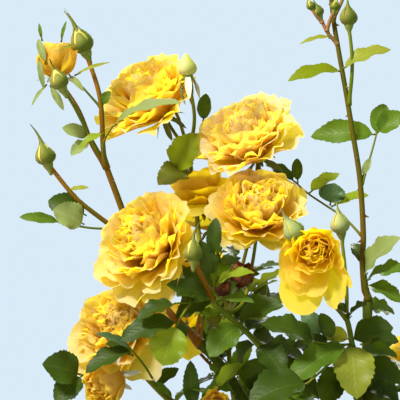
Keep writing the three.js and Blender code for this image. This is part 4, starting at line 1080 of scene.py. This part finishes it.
# Each blade's tone is partly painted light: dark where it lies in shade, pale where a glossy highlight is
# painted, bright and light where it is lit through from behind
FRONT_BLADES = {
    "spray_middle_blooms": [
        ((34, -112, -22), (72, -92, -46), 24, "up", "dark"),
        ((52, -130, -18), (76, -155, -42), 22, "up", "dark"),
        ((36, -113, -22), (8, -137, -45), 24, "up", "mid"),
        ((12, -50, -52), (14, -16, -57), 12, "eye", "dark"),
        ((13, -68, -45), (1, -38, -62), 14, "eye", "dark"),
        ((14, -76, -38), (46, -62, -58), 15, "up", "light"),
        ((16, -91, -28), (47, -89, -54), 13, "up", "mid"),
        ((8, -88, -32), (-26, -75, -60), 18, "eye", "dark"),
        ((-22, -93, -52), (-56, -105, -66), 17, "up", "dark"),
        ((-6, -92, -43), (-19, -84, -70), 14, "up", "dark"),
        ((-21, -112, -54), (-34, -148, -62), 29, "eye", "light"),
        ((-20, -110, -53), (-72, -121, -64), 20, "up", "dark"),
        ((-23, 25, 30), (-3, 60, 16), 27, "eye", "bright"),
        ((-10, 31, 34), (-37, 16, 16), 23, "eye", "olive"),
        ((3, 70, 37), (5, 96, 32), 12, "eye", "dark"),
        ((12, -90, -28), (-22, -103, -40), 18, "up", "dark"),
        ((10, -80, -10), (-14, -62, -20), 18, "eye", "dark"),
        ((14, -84, 0), (34, -66, 0), 16, "eye", "dark"),
        ((8, -88, 10), (-20, -96, 20), 20, "up", "dark"),
        ((16, -95, 5), (44, -104, 15), 22, "up", "dark"),
        ((20, -100, 10), (2, -118, 20), 22, "up", "mid"),
        ((28, -106, 10), (58, -120, 30), 24, "up", "dark"),
        ((30, -108, 0), (52, -84, 20), 18, "up", "dark"),
        ((14, -78, 10), (-8, -74, 30), 18, "eye", "dark"),
        ((50, -128, -10), (30, -150, 10), 22, "up", "dark"),
        ((56, -134, -10), (96, -140, 10), 24, "up", "dark"),
        ((60, -140, 0), (44, -172, 10), 24, "eye", "dark"),
        ((62, -150, 10), (100, -160, 30), 26, "up", "dark"),
        ((-12, -108, -40), (-25, -137, -46), 12, "eye", "dark"),
        ((44, -124, 0), (72, -134, 20), 26, "up", "dark"),
        ((40, -118, 4), (64, -104, 26), 22, "up", "dark"),
        ((66, -150, 8), (52, -182, 16), 26, "up", "dark"),
        ((68, -146, 8), (112, -176, 24), 28, "up", "dark"),
        ((20, -104, -10), (8, -128, 6), 20, "up", "olive"),
        ((1, -98, -20), (-4, -124, -24), 3, "eye", "dry"),
        ((4, -104, -22), (0, -127, -20), 2.4, "eye", "dry"),
    ],
    "spray_left_buds": [
        ((-79, 66, -14), (-22, 95, -50), 13, "up", "pale"),
        ((-86, 60, 0), (-110, 48, -8), 9, "up", "light"),
        ((-104, -22, 40), (-131, -8, 28), 24, "eye", "pale"),
        ((-126, -20, 34), (-162, -14, 24), 9, "eye", "mid"),
        ((-100, 56, 31), (-123, 66, 20), 12, "eye", "pale"),
        ((-99, 53, 32), (-116, 42, 20), 11, "eye", "pale"),
        ((-32, -95, 64), (-62, -78, 96), 20, "up", "mid"),
        ((-119, 9, 38), (-101, 12, 30), 4, "eye", "young"),
        ((-88, 84, 20), (-82, 98, 12), 8, "eye", "mid"),
        ((-102, -14, 52), (-136, 1, 46), 22, "eye", "dark"),
        ((-142, 143, 16), (-145, 159, 12), 3, "eye", "mid"),
        ((-125, 142, 10), (-121, 161, 4), 3, "eye", "mid"),
        ((-130, 134, -2), (-109, 141, 4), 3, "eye", "young"),
        ((-139, 122, 0), (-146, 146, 6), 6, "eye", "pale"),
        ((-145, 128, 8), (-141, 101, 2), 5, "eye", "pale"),
        ((-138, 104, 10), (-152, 86, 4), 3, "eye", "pale"),
        ((-135, 103, 10), (-123, 82, 2), 6, "eye", "pale"),
        ((-113, 112, 12), (-82, 126, 6), 3, "eye", "young"),
        ((-118, 113, 12), (-105, 99, 4), 5, "eye", "pale"),
    ],
    "spray_right_shoot": [
        ((86, 16, 26), (60, 34, 34), 13, "up", "dark"),
        ((88, 15, 25), (87, 38, 26), 9, "eye", "dark"),
        ((98, 6, 20), (125, 27, 24), 14, "up", "light"),
        ((117, -5, 13), (121, 15, 8), 22, "eye", "blue"),
        ((118, -6, 13), (151, 7, 10), 10, "up", "light"),
        ((158, 59, 6), (99, 60, 18), 21, "eye", "mid"),
        ((158, 58, 6), (165, 88, 12), 15, "eye", "mid"),
        ((159, 60, 6), (182, 79, -4), 18, "eye", "mid"),
        ((128, 116, 0), (80, 113, -16), 14, "up", "bright"),
        ((128, 118, -8), (170, 140, -16), 16, "up", "young"),
        ((148, -70, 0), (174, -31, -36), 21, "up", "pale"),
        ((149, -73, 0), (184, -58, -40), 18, "up", "mid"),
        ((149, -77, 0), (181, -88, -26), 15, "up", "mid"),
        ((147, -60, 0), (138, -36, 20), 12, "up", "dark"),
        ((122, 146, 0), (90, 144, -8), 5, "up", "young"),
        ((146, 20, 2), (153, 38, 0), 6, "eye", "pale"),
    ],
    "spray_lower_right": [
        ((104, -128, -42), (58, -108, -56), 25, "up", "dark"),
        ((97, -165, -62), (44, -178, -76), 30, "up", "dark"),
        ((132, -130, -36), (78, -162, -58), 25, "up", "mid"),
        ((136, -130, -34), (141, -176, -62), 31, "eye", "young"),
        ((136, -126, -33), (109, -118, -20), 14, "eye", "young"),
        ((136, -126, -33), (172, -112, -48), 23, "up", "dark"),
        ((133, -108, -36), (148, -92, -58), 14, "up", "dark"),
        ((134, -108, -34), (121, -92, -50), 16, "up", "dark"),
        ((118, -132, -30), (84, -128, -20), 24, "up", "dark"),
        ((104, -150, -20), (66, -164, -20), 26, "up", "dark"),
        ((96, -164, -40), (86, -186, -30), 26, "eye", "dark"),
        ((132, -150, -10), (110, -182, -20), 24, "up", "dark"),
        ((144, -130, 10), (178, -124, 0), 22, "up", "dark"),
        ((146, -96, 10), (176, -100, 10), 20, "up", "mid"),
        ((150, -150, 20), (170, -190, 10), 26, "up", "dark"),
        ((120, -126, -36), (109, -102, -40), 12, "eye", "dark"),
        ((112, -122, -36), (92, -100, -30), 15, "eye", "blue"),
        ((138, -150, -10), (182, -160, -30), 26, "up", "dark"),
        ((140, -165, 0), (180, -178, -10), 24, "up", "dark"),
        ((139, -140, -10), (176, -138, -40), 20, "up", "mid"),
        ((118, -150, -40), (150, -172, -20), 24, "up", "dark"),
    ],
    "spray_lower_left": [
        ((-108, -157, -10), (-140, -147, -30), 27, "eye", "dark"),
        ((-106, -158, -9), (-130, -180, -26), 21, "eye", "dark"),
        ((-61, -135, -34), (-104, -152, -44), 18, "up", "dark"),
        ((-62, -134, -34), (-92, -118, -46), 9, "up", "blue"),
        ((-6, -188, 10), (-9, -146, -4), 13, "eye", "dark"),
        ((0, -186, 4), (34, -150, -12), 15, "up", "mid"),
        ((-24, -180, 16), (-42, -163, 4), 8, "up", "mid"),
        ((14, -170, -8), (36, -146, -16), 12, "up", "light"),
        ((-60, -140, -20), (-84, -128, -30), 14, "up", "dark"),
        ((-40, -168, 16), (-20, -150, 20), 12, "up", "dark"),
    ],
}

# The other sprays grow by rule: each has its limb, its heart, its reach, its seed and its tips.
GROWN_SPRAYS = {
    "spray_far_right": ("cane_far_right", vec(215, 45, 680), 118, 3, ["bloom", "bud", "bloom", "half_open"]),
    "spray_back_right": ("cane_back_right", vec(165, 185, 640), 125, 8, ["leaf", "bloom", "bud", "bloom"]),
    "spray_back": ("cane_back", vec(-60, 185, 700), 108, 5, ["bloom", "bud", "bloom", "bloom"]),
    "spray_back_left": ("cane_back_left", vec(-215, 120, 515), 118, 14,
                        ["bloom", "half_open", "bloom", "leaf"]),
    "spray_middle": ("bough_middle", vec(5, 55, 500), 105, 21, ["leaf", "bud", "leaf"]),
    "spray_low_front": ("bough_front", vec(-20, -150, 480), 112, 33, ["bud", "bloom", "leaf", "leaf"]),
    "spray_low_left": ("bough_low_left", vec(-205, -70, 400), 118, 41, ["bloom", "bud", "leaf", "bloom"]),
    "spray_low_right_front": ("bough_right_front", vec(190, -110, 480), 118, 52,
                              ["bloom", "leaf", "bloom", "bud"]),
    "spray_low_right": ("bough_right", vec(230, 110, 420), 118, 61, ["leaf", "bloom", "bud", "leaf"]),
    "spray_low_back": ("bough_back", vec(20, 235, 470), 118, 77, ["bloom", "leaf", "bud", "bloom"]),
    "spray_skirt_right": ("bough_skirt_right", vec(170, -30, 290), 105, 84, ["leaf", "leaf", "bud"]),
    "spray_skirt_left": ("bough_skirt_left", vec(-155, 105, 285), 105, 92, ["leaf", "bud", "leaf"]),
    "spray_skirt_front": ("bough_skirt_front", vec(-55, -150, 280), 105, 97, ["bud", "leaf", "leaf"]),
}
GROWN_TIP_SIZES = {"bloom": 86, "bud": 17, "half_open": 36, "leaf": 0}
TIP_SPREAD = 0.15  # how much sizes of one kind differ, as a share of their middle
LEAF_SPREAD = 0.3
LEAF_SPACING = 56
LEAF_STALK = 46
BLADE_LENGTH = 40
FIRST_LEAF = 0.6  # from the foot of the stem, in steps
LAST_LEAF = 0.75  # from the tip of the stem, in steps
LEAF_LEAN = 0.45  # along the stem
LEAF_RISE = 0.12
STEM_BEND = 0.5  # where a spray's stem turns to its heart, as a share of the way
STEM_TOP = 0.3  # how far the stem passes the heart, as a share of the spray's reach
FIRST_TWIG = 0.4  # share of the stem that bears no twigs
TWIG_LENGTH = 0.57  # share of the spray's reach
TWIG_SPREAD = 0.25
TWIG_SLOPE = 40  # in degrees
TWIG_SLOPE_SPREAD = 0.75
TWIG_TURN = 30  # by how much the twigs stray from their even turns, in degrees
SEED_TURN = 40  # so that the first twigs of two sprays point different ways
TWIG_SAG = 0.05  # share of its length
TWIG_OUTWARD = 0.5
TWIG_UPWARD = 0.3
TIP_UPWARD = 0.35


def in_own_space(name, point):
    """A point belongs to the spray whose sphere it is deepest in."""
    depths = {other: np.sum((heart - point)**2) - reach**2
              for other, (_, heart, reach, _, _) in GROWN_SPRAYS.items()}
    return depths[name] < 0 and min(depths.values()) >= depths[name]


def varied(size, spread, draw):
    """A size that differs from one thing to the next, by a share of the middle one."""
    return size * (1 - spread / 2 + spread * draw())


def leaf_on(curve, share, turn, lean, stalk, blade):
    """A leaf of a stem: its root, its direction, its stalk and its blade."""
    axis = curve.tangent(share)
    direction = unit(sideways(axis, turn) + lean * axis + vec(0, 0, LEAF_RISE))
    return curve.at(share), direction, stalk, blade


def leaves_along(curve, turn, draw):
    """Leaves at even steps along a stem, each a golden angle round from the last."""
    leaves = []
    number = int(curve.length // LEAF_SPACING)
    for i in range(number):
        share = (i + FIRST_LEAF) / (number - 1 + FIRST_LEAF + LAST_LEAF)
        stalk, blade = varied(LEAF_STALK, LEAF_SPREAD, draw), varied(BLADE_LENGTH, LEAF_SPREAD, draw)
        leaves.append(leaf_on(curve, share, turn + i * GOLDEN_ANGLE, LEAF_LEAN, stalk, blade))
    return leaves


def stem_foot(limb):
    """Where a spray's stem starts from its limb, where it may first turn, and the limb's direction."""
    end = limb.tangent(1)
    foot = limb.at(1) + end * GAP
    return foot, foot + end * STRAIGHT_FOOT, end


def grown_twig(root, turn, outward, reach, draw):
    """A twig of a grown spray, from its root: it fans out from the stem and sags a little."""
    fan = heading(turn + TWIG_TURN * draw(), varied(TWIG_SLOPE, TWIG_SLOPE_SPREAD, draw))
    direction = unit(fan + TWIG_OUTWARD * outward + vec(0, 0, TWIG_UPWARD))
    length = varied(TWIG_LENGTH * reach, TWIG_SPREAD, draw)
    middle = root + direction * length / 2 - vec(0, 0, TWIG_SAG * length)
    return curve_through([root, middle, root + direction * length])


def grown_spray(name):
    """The stem, twigs and leaves of a grown spray, drawn in the order that its solid is."""
    limb_name, heart, reach, seed, tips = GROWN_SPRAYS[name]
    draw = series(seed)
    foot, straight, end = stem_foot(LIMBS[limb_name])
    bent = foot + end * STEM_BEND * np.linalg.norm(heart - foot)
    stem = curve_through([foot, straight, bent, heart, heart + vec(0, 0, STEM_TOP * reach)])
    outward = unit(vec(heart[0], heart[1], 0))
    leaves = leaves_along(stem, 360 * draw(), draw)
    twigs = []
    for i, tip in enumerate(tips):
        root = stem.at(FIRST_TWIG + (1 - FIRST_TWIG) * i / (len(tips) - 1))
        curve = grown_twig(root, seed * SEED_TURN + i * GOLDEN_ANGLE, outward, reach, draw)
        leaves += leaves_along(curve, 360 * draw(), draw)
        up = unit(curve.tangent(1) + vec(0, 0, TIP_UPWARD))
        twigs.append((curve, tip, varied(GROWN_TIP_SIZES[tip], TIP_SPREAD, draw), up))
    return stem, twigs, leaves


# The finished sprays
STEM_RADII = (2.7, 2.1)
TWIG_RADII = (1.9, 1.5)
LEAF_TWIG_RADII = (1.3, 0.9)
STALK_RADII = (0.9, 0.5)
STEM_COLLAR = 0.7
TWIG_COLLAR = 0.6
GROWN_TWIG_COLLAR = 0.5
RIPE_FULLNESS = 1.35  # a ripe stem or twig is this much thicker than the rest
BLADE_FULLNESS = 1.18  # a single blade is this much wider than it is seen
BLADE_STALK = BLADE_FOOT + 4  # it ends inside the blade
NEAR_PRICKLES = 22  # the spacing of prickles
FAR_PRICKLES = 16
# The sides and steps of stems and twigs, the number of petals of a bloom and the rows and columns of
# each, and the stations of a leaflet, in the sprays at the front and in the others
NEAR = {"stem": (10, 80), "twig": (9, 24), "petals": 92, "petal": (10, 14), "leaflet": 10}
FAR = {"stem": (8, 40), "twig": (7, 16), "petals": 52, "petal": (6, 8), "leaflet": 5}
# The sides and steps of the finest stems
LEAF_TWIG_MESH = (6, 14)
SHOOT_MESH = (6, 8)
LEAF_STALK_MESH = (3, 5)
BLADE_STALK_MESH = (4, 2)
# Leaves and side shoots that only the finished sprays have
GROWN_LEAF_SPACING = 18
SHOOT_LEAF_SPACING = 20
SHOOT_SPACING = 48
SHOOT_LENGTHS = (50, 100)
SHOOT_SAG = 4
SHOOTS_FROM = 0.3  # where the side shoots of a limb start, as a share of its length
SHOOTS_OUT_OF_VIEW = 0.75  # where they end under a front spray
# How full each tone of bloom is, how far it has spread, and how far its petals droop and are ragged
BLOOM_AGES = {"butter": (1.1, 0.98, 0.2, 1.2), "cream": (1.3, 0.94, 0.1, 1.35),
              "golden": (0.48, 0.94, 1.4, 1.1), "peach": (0.9, 1.1, 0.6, 1.7)}
SPENT_CRUMPLE = 2.2
# Under a flower: the size of its seed case as a share of its own, the sepals' tone, lean and curl
BLOOM_CALYX = (0.13, "sepal_green", 125, -0.2)
HALF_OPEN_CALYX = (0.34, "sepal_pale", 95, -0.25)
# How far the tips of a bud's sepals reach, and their tone
BUD_KINDS = {"bud": (0.0, "sepal_green"), "long_bud": (0.8, "sepal_green"),
             "plump_bud": (0.0, "sepal_light")}
LEAF_MIX = ("dark", "mid", "mid", "dark", "light", "mid")
TWIG_MIX = ("green", "green", "ripe")
BLOOM_MIX = ("butter", "cream", "golden")


def add_flower(parts, neck, axis, size, petals, grid, tone, random, calyx):
    share, *sepal_look = calyx
    add_petals(parts["blooms"], neck, axis, petals, *grid, tone)
    add_calyx(parts["buds"], neck, axis, size * share, random, *sepal_look)


def add_tip(parts, tip, neck, axis, size, detail, random, tone=None):
    """What a twig ends in: a bloom, a half-open flower, a bud, or nothing but leaves."""
    if tip == "bloom":
        petals = bloom_petals(size, detail["petals"], random, *BLOOM_AGES[tone])
        add_flower(parts, neck, axis, size, petals, detail["petal"], tone, random, BLOOM_CALYX)
    elif tip in ("half_open", "spent"):
        petals = half_open_petals(size, random, SPENT_CRUMPLE if tip == "spent" else 1.0)
        add_flower(parts, neck, axis, size, petals, detail["petal"], tone, random, HALF_OPEN_CALYX)
    elif tip in BUD_KINDS:
        add_bud(parts["buds"], neck, axis, size, random, *BUD_KINDS[tip])
    elif tip == "pale_bud":
        add_pale_bud(parts["buds"], neck, axis, size, random)


def add_leaf(twigs, root, direction, stalk, blade, tone, random):
    """A compound leaf: two pairs of leaflets along its stalk and one at its end."""
    face = unit(vec(0, 0, 1) - direction * direction[2])
    total = stalk + blade
    leaf = leaf_frame(root, direction, face, total, LEAF_ARCH)
    made = [leaflet(leaf, blade, blade * LEAFLET_WIDTH, tone, random, stalk)]
    for share, place in zip(PAIR_SIZES, PAIR_PLACES):
        size = blade * share
        for side in (-1, 1):
            turn = side * LEAFLET_ANGLE + random.uniform(-9, 9)
            width = size * LEAFLET_WIDTH * random.uniform(0.92, 1.12)
            made.append(leaflet(leaf, size, width, tone, random, stalk * place, turn))
    shares = np.linspace(0, stalk / total, 7)
    lift = 2 * LEAF_ARCH * shares * (1 - LEAF_FALL * shares) - STALK_RADII[1]
    line = root + np.outer(shares * total, direction) + np.outer(lift, leaf["up"])
    add_tube(twigs, Curve(line), STALK_RADII, LEAF_STALK_MESH, "green")
    return made


def add_leaves(twigs, leaves, random):
    """Compound leaves, each in a tone of its own."""
    made = []
    for leaf in leaves:
        made += add_leaf(twigs, *leaf, random.choice(LEAF_MIX), random)
    return made


def add_blade(twigs, start, end, width, side, tone, random):
    """A single leaf on its short stalk, between the two places where it is seen to start and end."""
    root = seen(start)
    way = seen(end) - root
    length = np.linalg.norm(way)
    direction = way / length
    face = unit(SIDES[side] - direction * np.dot(SIDES[side], direction))
    blade = length - BLADE_FOOT
    leaf = leaf_frame(root, direction, face, length, BLADE_ARCH * blade)
    add_tube(twigs, Curve([root, root + direction * BLADE_STALK]), STALK_RADII, BLADE_STALK_MESH, "green")
    return leaflet(leaf, blade, width * BLADE_FULLNESS, tone, random, BLADE_FOOT, 0, 0.05)


def leaves_between(curve, spacing, random):
    """More leaves along a stem than its solid has."""
    leaves = []
    turn = random.uniform(0, 360)
    number = int(curve.length / spacing)
    for i in range(number):
        lean = random.uniform(0.2, 0.7)
        stalk, blade = LEAF_STALK * random.uniform(0.6, 1.0), BLADE_LENGTH * random.uniform(0.8, 1.1)
        leaves.append(leaf_on(curve, (i + 0.5) / number, turn + i * GOLDEN_ANGLE, lean, stalk, blade))
    return leaves


def add_side_growth(twigs, limb, last, random):
    """Short leafy side shoots on the limb under a spray, and the leaves that they bear."""
    leaves = []
    turn = random.uniform(0, 360)
    number = int(limb.length * (last - SHOOTS_FROM) / SHOOT_SPACING)
    for i in range(number):
        share = SHOOTS_FROM + (last - SHOOTS_FROM) * (i + 0.5) / number
        axis, root = limb.tangent(share), limb.at(share)
        direction = unit(sideways(axis, turn + i * GOLDEN_ANGLE) + 0.5 * axis + vec(0, 0, 0.3))
        reach = direction * random.uniform(*SHOOT_LENGTHS)
        shoot = curve_through([root, root + reach * 0.5 - vec(0, 0, SHOOT_SAG), root + reach])
        add_tube(twigs, shoot, LEAF_TWIG_RADII, SHOOT_MESH, "green", TWIG_COLLAR)
        leaves += leaves_between(shoot, SHOOT_LEAF_SPACING, random)
    return leaves


def leaf_end(leaf):
    root, direction, stalk, blade = leaf
    return root + direction * (stalk + blade)


def in_bounds(leaf):
    """A leaf ends in the box of the solids."""
    low, high = np.array(cad_box) / MM
    return (leaf_end(leaf) > low).all() and (leaf_end(leaf) < high).all()


def new_parts():
    return {kind: Shape(finishes) for kind, finishes in SPRAY_FINISHES.items()}


def make_parts(parts, node):
    """Makes one piece of each kind that a spray has."""
    for kind, shape in parts.items():
        if shape.count:
            shape.make(node + "_" + kind, node, "foliage")


def make_grown_spray(name):
    random = Random("rose " + name)
    parts = new_parts()
    wood = parts["twigs"]
    stem, twigs, leaves = grown_spray(name)
    add_tube(wood, stem, STEM_RADII, FAR["stem"], "green", STEM_COLLAR)
    add_prickles(wood, stem, STEM_RADII, FAR_PRICKLES, "ripe", random)
    for curve, tip, size, axis in twigs:
        add_tube(wood, curve, TWIG_RADII, FAR["twig"], random.choice(TWIG_MIX), GROWN_TWIG_COLLAR)
        add_tip(parts, tip, curve.at(1), axis, size, FAR, random, random.choice(BLOOM_MIX))
    made = add_leaves(wood, [leaf for leaf in leaves if in_own_space(name, leaf_end(leaf))], random)
    more = add_side_growth(wood, LIMBS[GROWN_SPRAYS[name][0]], 1.0, random)
    for curve in [stem] + [twig[0] for twig in twigs]:
        more += leaves_between(curve, GROWN_LEAF_SPACING, random)
    made += add_leaves(wood, filter(in_bounds, more), random)
    add_leaflets(parts["leaves"], made, FAR["leaflet"])
    make_parts(parts, name)


def fuller(radii, tone):
    """A ripe stem or twig is thicker than the rest."""
    return [radius * (RIPE_FULLNESS if tone == "ripe" else 1) for radius in radii]


def make_front_spray(name):
    limb_name, stem_tone, places = FRONT_STEMS[name]
    random = Random("rose " + name)
    parts = new_parts()
    wood = parts["twigs"]
    foot, straight, _ = stem_foot(LIMBS[limb_name])
    stem = curve_through([foot, straight, *map(seen, places)])
    radii = fuller(STEM_RADII, stem_tone)
    add_tube(wood, stem, radii, NEAR["stem"], stem_tone, STEM_COLLAR)
    add_prickles(wood, stem, radii, NEAR_PRICKLES, "red", random)
    for path, tip, *rest in FRONT_TWIGS[name]:
        curve = curve_through([seen(place) for place in path])
        if tip == "leaf":
            add_tube(wood, curve, LEAF_TWIG_RADII, LEAF_TWIG_MESH, "green", TWIG_COLLAR)
            continue
        size, direction, tone, *petals = rest
        add_tube(wood, curve, fuller(TWIG_RADII, tone), NEAR["twig"], tone, TWIG_COLLAR)
        add_tip(parts, tip, curve.at(1), facing(direction), size, NEAR, random, *petals)
    blades = [add_blade(wood, *blade, random) for blade in FRONT_BLADES[name]]
    add_leaflets(parts["leaves"], blades, NEAR["leaflet"], FRONT_TEETH)
    random = Random("shoots " + name)
    hidden = add_side_growth(wood, LIMBS[limb_name], SHOOTS_OUT_OF_VIEW, random)
    add_leaflets(parts["leaves"], add_leaves(wood, hidden, random), FAR["leaflet"])
    make_parts(parts, name)


def make_plant():
    bark = bark_finish()
    green = stem_finish("bough_bark", *BOUGH_LOOK)
    make_stock(bark)
    for name, (*_, radii) in CANES.items():
        make_limb(name, radii, bark, CANE_KNOTS)
    for name, (*_, radius) in BOUGHS.items():
        make_limb(name, (radius, BOUGH_TIP), green, BOUGH_KNOTS)
    for name in FRONT_STEMS:
        make_front_spray(name)
    for name in GROWN_SPRAYS:
        make_grown_spray(name)


# The stage, in metres
FLOOR_RADIUS = 3.2
FLOOR_SIDES = 96
BUSH_MIDDLE = Vector((0, 0, 0.7))
# Each light's place, size, power and colour
LIGHTS = {
    "key_light": ((-1.5, -1.4, 2.8), 0.6, 165, (1.0, 0.97, 0.90)),
    "fill_light": ((2.2, -2.0, 1.3), 1.8, 12, (0.98, 0.98, 0.96)),
    "back_light": ((0.7, 2.2, 2.2), 1.0, 55, (1.0, 0.97, 0.88)),
}
BACKDROP = (0.70, 0.83, 0.94, 1)
SOFT_LIGHT = (0.97, 0.97, 0.94, 1)
SOFT_LIGHT_STRENGTH = 0.48
SENSOR_WIDTH = 36
CAMERA_RANGE = (0.05, 60)
FLOOR_GREY = (0.62, 0.64, 0.66, 1)


def make_floor():
    deselect_all()
    bpy.ops.mesh.primitive_circle_add(vertices=FLOOR_SIDES, radius=FLOOR_RADIUS, fill_type="NGON",
                                      location=(0, 0, 0))
    floor = bpy.context.object
    floor.name = "floor"
    paint = Paint("floor_paint")
    floor.data.materials.append(paint.finished(paint.surface(FLOOR_GREY, FLOOR_ROUGHNESS)))


def make_light(name, place, size, power, colour):
    """A soft light that shines on the middle of the bush."""
    bpy.ops.object.light_add(type="AREA", location=place)
    lamp = bpy.context.object
    lamp.name = name
    lamp.data.size = size
    lamp.data.energy = power
    lamp.data.color = colour
    lamp.rotation_mode = "QUATERNION"
    lamp.rotation_quaternion = (BUSH_MIDDLE - Vector(place)).to_track_quat("-Z", "Y")


def make_backdrop():
    """A pale backdrop, which lights the bush more softly and less blue than it looks."""
    world = bpy.data.worlds.new("studio")
    bpy.context.scene.world = world
    world.use_nodes = True
    tree = world.node_tree
    shown = tree.nodes["Background"]
    shown.inputs["Color"].default_value = BACKDROP
    lighting = tree.nodes.new("ShaderNodeBackground")
    lighting.inputs["Color"].default_value = SOFT_LIGHT
    lighting.inputs["Strength"].default_value = SOFT_LIGHT_STRENGTH
    rays = tree.nodes.new("ShaderNodeLightPath")
    both = tree.nodes.new("ShaderNodeMixShader")
    tree.links.new(rays.outputs["Is Camera Ray"], both.inputs[0])
    tree.links.new(lighting.outputs[0], both.inputs[1])
    tree.links.new(shown.outputs[0], both.inputs[2])
    tree.links.new(both.outputs[0], tree.nodes["World Output"].inputs["Surface"])


def make_stage():
    make_floor()
    for name, look in LIGHTS.items():
        make_light(name, *look)
    make_backdrop()


def make_camera():
    place = (EYE_ACROSS * MM, -EYE_DISTANCE * MM, EYE_FOOT * MM)
    bpy.ops.object.camera_add(location=place, rotation=(math.pi / 2 + PITCH, 0, 0))
    camera = bpy.context.object
    camera.data.sensor_width = SENSOR_WIDTH
    camera.data.lens = SENSOR_WIDTH * (EYE_DISTANCE / math.cos(PITCH)) / VIEW_WIDTH
    camera.data.clip_start, camera.data.clip_end = CAMERA_RANGE
    bpy.context.scene.camera = camera
    bpy.context.scene.view_settings.view_transform = "Standard"


make_plant()
make_stage()
make_camera()
